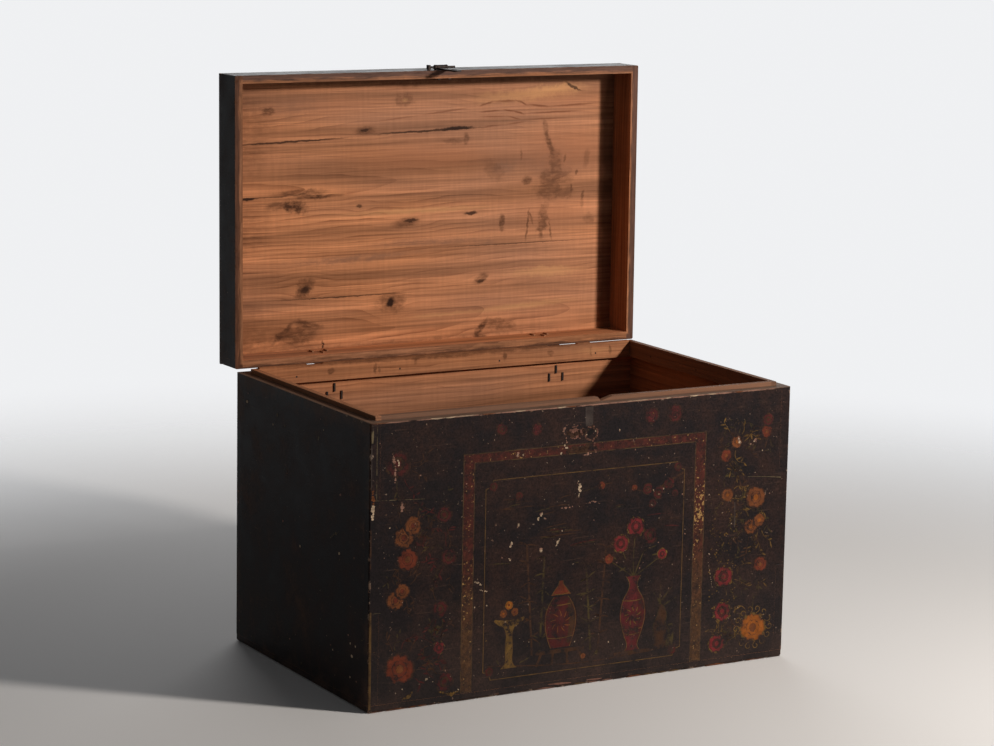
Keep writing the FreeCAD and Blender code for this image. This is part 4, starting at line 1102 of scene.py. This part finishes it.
# %% Border blossoms
WARM = ("umber", "rust", "rust", "brick")
ROSE = ("ochre", "crimson", "dark_red", "crimson")
GLOW = ("ochre", "orange", "amber", "brick")
DUSK = ("umber", "dark_red", "umber", "dark_red")
HONEY = ("umber", "rust", "rust", "orange")
BRICK = ("umber", "brick", "brick", "rust")
FADED = ("umber", "dark_red", "madder", "dark_red")
EMBER = ("ochre", "orange", "orange", "rust")
BORDER = [
    # x, z, radius, paints, turn
    (-350, 403, 28, DUSK, 10), (-338, 282, 23, WARM, 0), (-322, 300, 20, WARM, 40), (-331, 246, 24, BRICK, 20),
    (-352, 181, 20, WARM, 0), (-340, 195, 17, WARM, 30), (-271, 158, 18, DUSK, 0), (-272, 94, 15, ROSE, 15),
    (-266, 313, 18, DUSK, 0), (-256, 243, 18, DUSK, 30), (-261, 36, 21, DUSK, 50), (-162, 444, 14, DUSK, 0),
    (-97, 438, 14, FADED, 20), (122, 444, 18, FADED, 0), (168, 444, 19, FADED, 40), (273, 363, 15, BRICK, 10),
    (294, 385, 15, HONEY, 0), (356, 418, 15, DUSK, 0), (354, 398, 15, BRICK, 30), (278, 295, 16, HONEY, 0),
    (336, 286, 25, HONEY, 15), (327, 236, 18, HONEY, 0), (344, 245, 16, HONEY, 50), (349, 168, 18, BRICK, 0),
    (275, 154, 24, ROSE, 0), (274, 93, 22, ROSE, 25), (265, 38, 21, ROSE, 0), (-343, 67, 33, BRICK, 0),
    (338, 58, 32, EMBER, 0),
]
blossoms = []
for number, (x, z, radius, paints, turn) in enumerate(BORDER):
    blossoms += bloom(x, z, radius, paints, 2 + number % 3, turn)
join("painted_border_blossoms", blossoms)

# %% Tendrils and leaves
TENDRIL_STEPS = 7
LEAF_STEPS = (2, 4, 5)
GREENS = {"left": ("olive", "umber", "umber", "dark_red"), "right": ("olive", "olive", "umber", "ochre")}
brush = random.Random(11)


def leaf(start, end, half, paint, rise=0):
    """A stroke that swells to half its width in the middle, which may lie higher than the ends."""
    middle = ((start[0] + end[0]) / 2, (start[1] + end[1]) / 2 + rise)
    stroke([(*start, 0.4), (*middle, half), (*end, 0.3)], paint, 1)


def tendril(x, z, length, heading, curl, paint, half):
    """A curling line with leaves: the heading turns by curl at each step."""
    points = []
    for step in range(TENDRIL_STEPS):
        points.append((x, z, half * (1 - step / 9)))
        x += length / TENDRIL_STEPS * math.cos(heading)
        z += length / TENDRIL_STEPS * math.sin(heading)
        heading += curl
        if step in LEAF_STEPS:
            side = heading + brush.choice((-1, 1)) * brush.uniform(0.6, 1.1)
            reach = brush.uniform(7, 13)
            tip = (x + reach * math.cos(side), z + reach * math.sin(side))
            leaf((x, z), tip, brush.uniform(2.0, 3.6), paint)
    stroke(points, paint, 1)


def in_border(x, z):
    return (246 < abs(x) < 372 and 30 < z < 440) or (abs(x) < 372 and 428 < z < 446)


for x, z, radius, *_ in BORDER * 2:
    for _ in range(5):
        heading = brush.uniform(0, 2 * math.pi)
        length = brush.uniform(22, 44)
        start = (x + radius * math.cos(heading), z + radius * math.sin(heading))
        end = (start[0] + length * math.cos(heading), start[1] + length * math.sin(heading))
        if in_border(*start) and in_border(*end):
            choice = GREENS["right" if x > 0 else "left"]
            tendril(*start, length, heading, brush.uniform(-0.4, 0.4), brush.choice(choice), 0.9)
press_strokes("painted_tendrils")

# %% Scrolled rim of the large right blossom, and ochre dots beside the band
SCROLLS, SCROLL_STEPS, SCROLL_RADIUS = 14, 9, 7.5
for turn in range(SCROLLS):
    angle = turn * 2 * math.pi / SCROLLS
    centre = (338 + 34 * math.cos(angle), 58 + 33 * math.sin(angle))
    spiral = []
    for step in range(SCROLL_STEPS):
        bend = angle + math.pi + step * 0.75
        reach = SCROLL_RADIUS * (1 - step / 11)
        spiral.append((centre[0] + reach * math.cos(bend), centre[1] + reach * math.sin(bend), 0.8))
    stroke(spiral, "ochre", 6)
for _ in range(140):
    x, z, size = brush.uniform(245, 300), brush.triangular(20, 330, 240), brush.uniform(0.7, 1.4)
    stroke([(x - size, z, size), (x + size, z + brush.uniform(-1, 1), size)], "ochre", 6, "POLY")
press_strokes("painted_scrolls_and_dots")

# %% [markdown]
# ## The middle field
# The middle field holds a still life of the kind that is common on such chests: a vase of peonies, a covered jar
# on a low stand, a dish of fruit and a garden rock, under drifting clouds. The vessels are single strokes whose
# width follows the vessel's outline, as a painter lays in a silhouette before its details.

# %% Vessels and stands
VESSELS = [
    # paint, layer, outline as (x, z, half width)
    ("madder", 1, [(95, 47, 15), (95, 54, 8), (95, 72, 17), (95, 104, 27), (95, 134, 22), (95, 152, 8), (95, 166, 8),
                   (95, 174, 15)]),
    ("dark_red", 1, [(-45, 68, 19), (-45, 84, 27), (-45, 120, 33), (-45, 148, 21), (-45, 154, 14)]),
    ("brick", 2, [(-45, 157, 19), (-45, 166, 13), (-45, 176, 3), (-45, 181, 4)]),
    ("ochre", 1, [(-142, 44, 16), (-142, 50, 5), (-142, 76, 8), (-142, 110, 4), (-142, 118, 16)]),
    ("umber", 1, [(150, 44, 14), (158, 62, 20), (146, 84, 13), (156, 104, 10), (150, 118, 4)]),
]
for paint, layer, outline in VESSELS:
    stroke(outline, paint, layer)
    for side in (-0.94, 0.94):
        stroke([(x + side * half, z, 0.7) for x, z, half in outline], "edging" if paint != "umber" else "olive", 3)
stroke([(-170, 127, 2), (-160, 121, 6), (-142, 118, 8), (-124, 121, 6), (-114, 127, 2)], "ochre", 2)
stroke([(-92, 62, 3), (-45, 62, 5), (2, 62, 3)], "umber", 2)
for x, lean in ((-80, -5), (-58, -1), (-32, 1), (-10, 5)):
    stroke([(x, 62, 3), (x + lean, 50, 2), (x + 2 * lean, 40, 3)], "umber", 1)
stroke([(60, 43, 3), (95, 43, 5), (130, 43, 3)], "umber", 2)
stroke([(168, 46, 8), (172, 66, 9), (170, 84, 5)], "olive", 2)
# Shade on one side of each vessel, and bands.
stroke([(104, 58, 2), (110, 82, 5), (112, 106, 8), (109, 132, 5), (100, 156, 2)], "dark_red", 2)
stroke([(-30, 74, 3), (-24, 96, 6), (-22, 122, 8), (-30, 146, 3)], "umber", 2)
for x, z, half in ((95, 132, 21), (95, 74, 15), (95, 82, 18), (-45, 84, 24), (-45, 140, 24), (-45, 158, 17)):
    stroke([(x - half, z + 2, 0.6), (x, z - 3, 1.0), (x + half, z + 2, 0.6)], "ochre", 3)
# A round of curved leaves on each belly: share of the reach, bend, half width.
LEAF_SHAPE = ((0.45, 0, 0.4), (0.75, 0.12, 1.9), (1.0, 0.3, 0.3))
for x, z, reach, paint in ((95, 106, 17, "ochre"), (-45, 112, 20, "rust")):
    for step in range(9):
        angle = step * 2 * math.pi / 9
        stroke([(x + share * reach * math.cos(angle + bend), z + share * reach * math.sin(angle + bend), half)
                for share, bend, half in LEAF_SHAPE], paint, 4)
press_strokes("painted_vessels")

# %% Stems, leaves and clouds
STEMS = ((78, 205, 68, 228), (92, 212, 97, 250), (108, 204, 124, 236), (70, 190, 46, 206), (122, 188, 150, 204))
LEAVES = (
    # x, z, angle, reach
    (60, 206, 2.6, 22), (84, 222, 1.9, 20), (112, 214, 0.5, 22), (130, 206, 0.2, 24), (80, 190, 3.3, 22),
    (146, 120, 1.0, 36), (148, 120, 1.7, 42), (152, 118, 2.3, 38), (154, 116, 0.6, 30),
    (-160, 52, 2.4, 16), (-122, 50, 0.7, 16), (20, 46, 1.2, 18), (26, 46, 1.8, 16),
)
CLOUD_BANKS = ((-130, 318), (-60, 300), (20, 326), (70, 296), (-150, 230), (-10, 236), (150, 262), (-70, 262))
for middle_x, middle_z, end_x, end_z in STEMS:
    stroke([(95, 172, 1.4), (middle_x, middle_z, 1.2), (end_x, end_z, 0.8)], "olive", 1)
for x, z, angle, reach in LEAVES:
    dx, dz = reach * math.cos(angle), reach * math.sin(angle)
    stroke([(x, z, 0.6), (x + dx / 2 + 3, z + dz / 2, 3.4), (x + dx + 7, z + dz - 3, 0.4)], "olive", 1)
for _ in range(34):
    # Clouds: short drifting strokes that crowd into banks.
    bank_x, bank_z = brush.choice(CLOUD_BANKS)
    x, z = bank_x + brush.gauss(0, 14), bank_z + brush.gauss(0, 8)
    reach, rise = brush.uniform(10, 26), brush.uniform(-2, 3)
    paint = brush.choice(("umber", "umber", "olive", "dark_red"))
    stroke([(x - reach, z - rise, 0.4), (x, z + 2, brush.uniform(1.0, 2.6)), (x + reach, z + rise, 0.4)], paint, 1)
stroke([(-182, 52, 0.8), (-60, 38, 1.2), (60, 36, 1.2), (182, 46, 0.8)], "umber", 1)
print("strokes noted:", sum(map(len, strokes.values())))

# %% Bamboo and a branch
BAMBOO = (
    # foot, tip, paint
    ((-98, 60), (-112, 250), "umber"), ((-84, 60), (-78, 226), "olive"),
    ((28, 56), (40, 232), "umber"), ((14, 56), (2, 206), "olive"),
)
CANES = 6
# Bamboo stands behind the vessels. Each cane ends a little below the next one.
for foot, tip, paint in BAMBOO:
    for cane in range(CANES):
        shares = (cane / CANES, (cane + 0.93) / CANES)
        low_end, high_end = ([a + (b - a) * share for a, b in zip(foot, tip)] for share in shares)
        stroke([(*low_end, 2.3), (*high_end, 2.0)], paint, 1, "POLY")
        for _ in range(3):
            angle, reach = brush.uniform(-0.9, 0.9) + brush.choice((0, math.pi)), brush.uniform(12, 24)
            end = (high_end[0] + reach * math.cos(angle), high_end[1] + reach * math.sin(angle) * 0.7)
            leaf(high_end, end, 2.6, paint, rise=2)
# A branch reaches in from the upper right.
stroke([(188, 342, 2.4), (160, 330, 2.0), (138, 318, 1.6), (112, 316, 1.2), (90, 322, 0.6)], "umber", 1)
stroke([(150, 326, 1.6), (140, 306, 1.2), (128, 294, 0.6)], "umber", 1)
press_strokes("painted_stems_and_clouds")

# %% Flowers and fruit
STILL_LIFE = (
    # x, z, radius, paints
    (68, 232, 20, ROSE), (97, 258, 22, ROSE), (126, 240, 18, DUSK), (46, 208, 12, BRICK), (150, 206, 13, ROSE),
    (140, 312, 15, DUSK), (118, 320, 13, DUSK), (160, 326, 14, DUSK), (128, 294, 11, DUSK), (92, 324, 8, BRICK),
    (172, 308, 9, DUSK), (28, 334, 10, BRICK), (-128, 330, 10, DUSK), (-153, 137, 10, HONEY), (-132, 138, 10, WARM),
    (-143, 150, 10, GLOW), (0, 48, 7, WARM),
)
still_life = []
for number, (x, z, radius, paints) in enumerate(STILL_LIFE):
    still_life += bloom(x, z, radius, paints, 4 + number % 3, 17 * number)
join("painted_flowers_and_fruit", still_life)

# %% [markdown]
# ## Scars
# The lock is gone. Its plate and ring have left a scar with bared ground and a hole, and the hasp a grey trace
# below the rim. Elsewhere paint and lacquer have chipped off to the pale ground. These marks have their measured
# places too. A chip is a crowd of ragged dabs, because flaking lacquer breaks in small steps.

# %% Flakes and chips
LEFT_EDGE = -399.5
wear = random.Random(4)


def flake(x, z, radius, paint):
    """One ragged dab of bared ground: a short fat stroke with an odd end."""
    angle, reach = wear.uniform(0, math.pi), radius * wear.uniform(0.5, 1.0)
    dx, dz = reach * math.cos(angle), reach * math.sin(angle)
    odd_end = radius * wear.uniform(0.1, 0.6)
    stroke([(x - dx, z - dz, radius * 0.5), (x, z, radius * 0.75), (x + dx, z + dz, odd_end)], paint, 9, "POLY")


def chip(points, paint):
    """Flakes crowded along a line of (x, z, half width)."""
    for (x0, z0, half0), (x1, z1, half1) in zip(points, points[1:]):
        steps = max(2, round(math.hypot(x1 - x0, z1 - z0) / 3))
        for step in range(steps):
            t = (step + wear.uniform(0, 0.8)) / steps
            half = half0 + (half1 - half0) * t
            x = x0 + (x1 - x0) * t + wear.uniform(-0.5, 0.5) * half
            z = z0 + (z1 - z0) * t + wear.uniform(-0.5, 0.5) * half
            radius = half * wear.uniform(0.6, 1.3) + 0.3
            flake(max(LEFT_EDGE + radius, x), z, radius, paint)


CHIPS = [
    # paint, line of (x, z, half width)
    ("cream", [(-16, 346, 1.4), (-14, 333, 3.2), (-15, 317, 1.0)]),
    ("pink", [(-50, 304, 0.8), (-38, 302, 2.2), (-25, 305, 0.8)]),
    ("pink", [(-2, 306, 0.6), (11, 309, 1.3), (26, 304, 0.6)]),
    ("cream", [(-58, 239, 0.8), (-53, 246, 2.2), (-50, 253, 0.8)]),
    ("cream", [(-209, 197, 0.8), (-201, 194, 2.0), (-195, 189, 0.8)]),
    ("cream", [(-200, 183, 0.8), (-191, 179, 1.3), (-184, 177, 0.8)]),
    ("pink", [(-361, 421, 1.0), (-357, 408, 2.6), (-354, 396, 1.4)]),
    ("pink", [(-356, 395, 2.0), (-355, 385, 2.6), (-356, 373, 1.0)]),
    ("cream", [(-352, 411, 0.8), (-349, 404, 1.8), (-350, 397, 0.8)]),
    ("pink", [(-342, 341, 1.0), (-342, 333, 3.6), (-342, 325, 4.0)]),
    ("rust", [(-395, 364, 1.6), (-394, 350, 3.0), (-394, 340, 3.4)]),
    ("cream", [(-394, 340, 2.6), (-394, 330, 3.8), (-395, 316, 2.2)]),
    ("ochre", [(-337, 16, 1.5), (-328, 19, 4.0), (-319, 26, 1.6)]),
    ("ochre", [(-272, 20, 1.4), (-250, 14, 3.2), (-233, 17, 1.2)]),
    ("cream", [(243, 182, 0.4), (248, 158, 0.7), (253, 135, 0.3)]),
]
LOCK_CHIPS = [
    # Brown ground, a reddish patch, pale breaks round it.
    ("umber", [(-40, 398, 5.0), (-23, 399, 6.0), (-4, 399, 6.0), (16, 398, 5.0)]),
    ("umber", [(-38, 428, 4.0), (-24, 426, 7.0), (-8, 426, 6.0)]),
    ("clay", [(-36, 431, 3.4), (-24, 429, 6.0), (-12, 426, 5.4), (-8, 433, 4.0)]),
    ("clay", [(-30, 424, 3.4), (-18, 423, 4.6), (-6, 428, 3.4)]),
    ("pink", [(-34, 433, 1.0), (-26, 430, 1.8), (-18, 432, 1.2)]),
    ("clay", [(-32, 436, 1.6), (-24, 437, 2.0), (-14, 439, 1.4)]),
    ("clay", [(-35, 419, 1.4), (-24, 418, 2.2), (-14, 417, 1.0)]),
    ("pink", [(-41, 441, 1.4), (-45, 436, 2.6), (-48, 431, 2.0), (-43, 424, 1.8)]),
    ("pink", [(-42, 421, 1.6), (-40, 410, 2.2)]), ("cream", [(-45, 410, 1.0), (-43, 404, 2.2), (-37, 403, 1.6)]),
    ("clay", [(12, 407, 1.8), (14, 398, 2.2), (15, 390, 1.4)]),
    ("pink", [(-8, 388, 1.2), (0, 389, 2.0), (8, 390, 1.0)]), ("pink", [(-30, 403, 0.8), (-27, 401, 1.6)]),
    ("pink", [(-15, 405, 1.4), (-14, 400, 1.0)]), ("cream", [(-53, 395, 1.4), (-49, 394, 1.8)]),
]
for paint, points in CHIPS + LOCK_CHIPS:
    chip(points, paint)
print("strokes noted:", sum(map(len, strokes.values())))

# %% Lock ring and small scars
SCARS = (
    # x, z, radius
    (-86, 297, 5), (-92, 290, 3), (-79, 289, 3), (-128, 281, 3.4), (-141, 250, 3.8), (-85, 237, 5), (-144, 227, 2.8),
    (-295, 44, 3.0), (-133, 400, 3.4), (-122, 398, 2.2), (296, 388, 5.0), (331, 384, 3.8), (322, 379, 2.2),
    (130, 316, 2.0), (141, 309, 1.6), (150, 318, 1.8), (-300, 463, 1.8), (60, 424, 2.0),
)
# What the lock's ring has left: a broken circle round a dark hole.
for turn in range(40):
    angle = turn * 0.157 + wear.uniform(-0.08, 0.08)
    reach = wear.uniform(0.85, 1.1)
    x, z = 6 + 11 * reach * math.cos(angle), 423 + 12 * reach * math.sin(angle)
    flake(x, z, wear.uniform(1.6, 3.0), wear.choice(("clay", "clay", "umber", "olive")))
# The hole is not cut: a dab of black stands for it, as painted shade of its dark inside.
stroke([(0, 421, 3.0), (4, 426, 5.5), (10, 427, 3.5)], "black", 11)
chip([(1, 424, 0.9), (6, 422, 1.3), (11, 424, 0.8)], "clay")
flake(14.3, 426.7, 1.9, "cream")
for x, z, radius in SCARS:
    for _ in range(4):
        dx, dz = wear.gauss(0, 0.4) * radius, wear.gauss(0, 0.4) * radius
        flake(x + dx, z + dz, radius * wear.uniform(0.4, 0.8), wear.choice(("cream", "cream", "pink")))
for _ in range(230):
    x, z, radius = wear.uniform(-390, 390), wear.uniform(10, 462), wear.choice((0.6, 0.8, 1.0, 1.5))
    flake(x, z, radius, wear.choice(("cream", "pink", "grey", "ochre")))
press_strokes("bared_ground_flakes")

# %% Flakes of the other walls
# On the left wall they have measured places: distance towards the front, height. The other two get them at random.
LEFT_FLAKES = [
    (-204, 443), (-208, 428), (-101, 437), (-89, 426), (-105, 407), (-59, 413), (74, 448), (85, 432), (67, 415),
    (-241, 266), (-242, 247), (-50, 334), (-65, 250), (147, 337), (1, 221), (70, 236), (145, 240), (147, 230),
    (198, 244), (229, 273), (80, 116), (-236, 38), (-79, 45), (-39, 70), (-36, 54), (117, 81), (125, 75), (180, 113),
    (188, 101), (194, 81), (206, 100), (-16, 15), (9, 23), (188, 45), (210, 43), (229, 116), (-100, 6), (-187, 22),
]
for x, z in LEFT_FLAKES:
    flake(x, z, wear.uniform(2.0, 3.8), wear.choice(("cream", "pink", "line")))
chip([(114, 260, 1.0), (128, 268, 2.4), (148, 279, 1.2)], "line")
press_strokes("bared_ground_flakes_left", "left")
for wall, half_width, count in (("right", 240, 40), ("back", 390, 60)):
    for _ in range(count):
        x = wear.uniform(-half_width, half_width)
        z = wear.choice((wear.uniform(6, 100), wear.uniform(100, 440)))
        flake(x, z, wear.uniform(1.0, 3.2), wear.choice(("pink", "grey", "line")))
    press_strokes("bared_ground_flakes_" + wall, wall)

# %% Worn edges and scratches
LINES = [
    ("line", [(-391, 347, 0.7), (-352, 345, 0.7), (-300, 342, 0.4)]),
    ("line", [(386, 316, 0.8), (350, 321, 0.6), (318, 323, 0.4)]),
    ("line", [(-388, 466, 0.6), (-388, 405, 0.7), (-388, 348, 0.6)]),
    ("grey", [(293, 281, 1.2), (294, 260, 1.6), (294, 238, 1.0)]),
    ("edging", [(-397.0, 166, 2.2), (-396.8, 90, 2.8), (-396.9, 6, 2.4)]),
    ("line", [(-398.2, 166, 0.8), (-398.0, 80, 1.0), (-398.2, 6, 0.8)]),
    ("umber", [(-397.6, 300, 1.2), (-397.2, 270, 2.0), (-397.6, 236, 1.2)]),
    ("grey", [(-397.5, 436, 1.0), (-397.4, 400, 1.4), (-397.5, 368, 1.0)]),
    ("line", [(-396.5, 470, 1.6), (-395.6, 456, 3.2), (-396.5, 440, 1.6)]),
    ("line", [(-398, 163, 0.6), (-390, 164, 0.8), (-378, 163, 0.4)]),
    ("clay", [(-66, 7, 0.8), (-44, 6, 3.0), (-22, 5, 0.8)]), ("clay", [(8, 6, 0.6), (24, 5, 2.2), (38, 5, 0.6)]),
    ("grey", [(1.3, 468, 8.6), (1.5, 450, 8.8), (1.8, 436, 8.0)]),
]
EDGES = (
    # height, way inward, paints, gap, right end
    (471.6, -1, ("cream", "pink", "pink", "rust"), -2, 340),
    (0.7, 1, ("umber", "clay", "edging", "rust"), 1, 380),
)
for paint, points in LINES:
    stroke(points, paint, 7)
# The front's upper edge is worn to a ragged pale line, and the lower edge to a darker, broken one.
stroke([(x, 470.9 - wear.uniform(0, 0.5), wear.uniform(0.7, 1.1)) for x in range(-398, 378, 12)], "pink", 7, "POLY")
for height, inward, paints, gap, right_end in EDGES:
    x = -399.0
    while x < right_end:
        end = min(x + wear.uniform(12, 46), 399)
        half = wear.uniform(0.8, 2.4)
        middle = ((x + end) / 2, height + inward * half, half)
        stroke([(x, height, 0.4), middle, (end, height, 0.4)], wear.choice(paints), 8)
        x = end + gap + wear.uniform(-4, 6)
press_strokes("worn_edges")

# %% Put the templates away
for template in (blossom, rose):
    bpy.data.objects.remove(template)
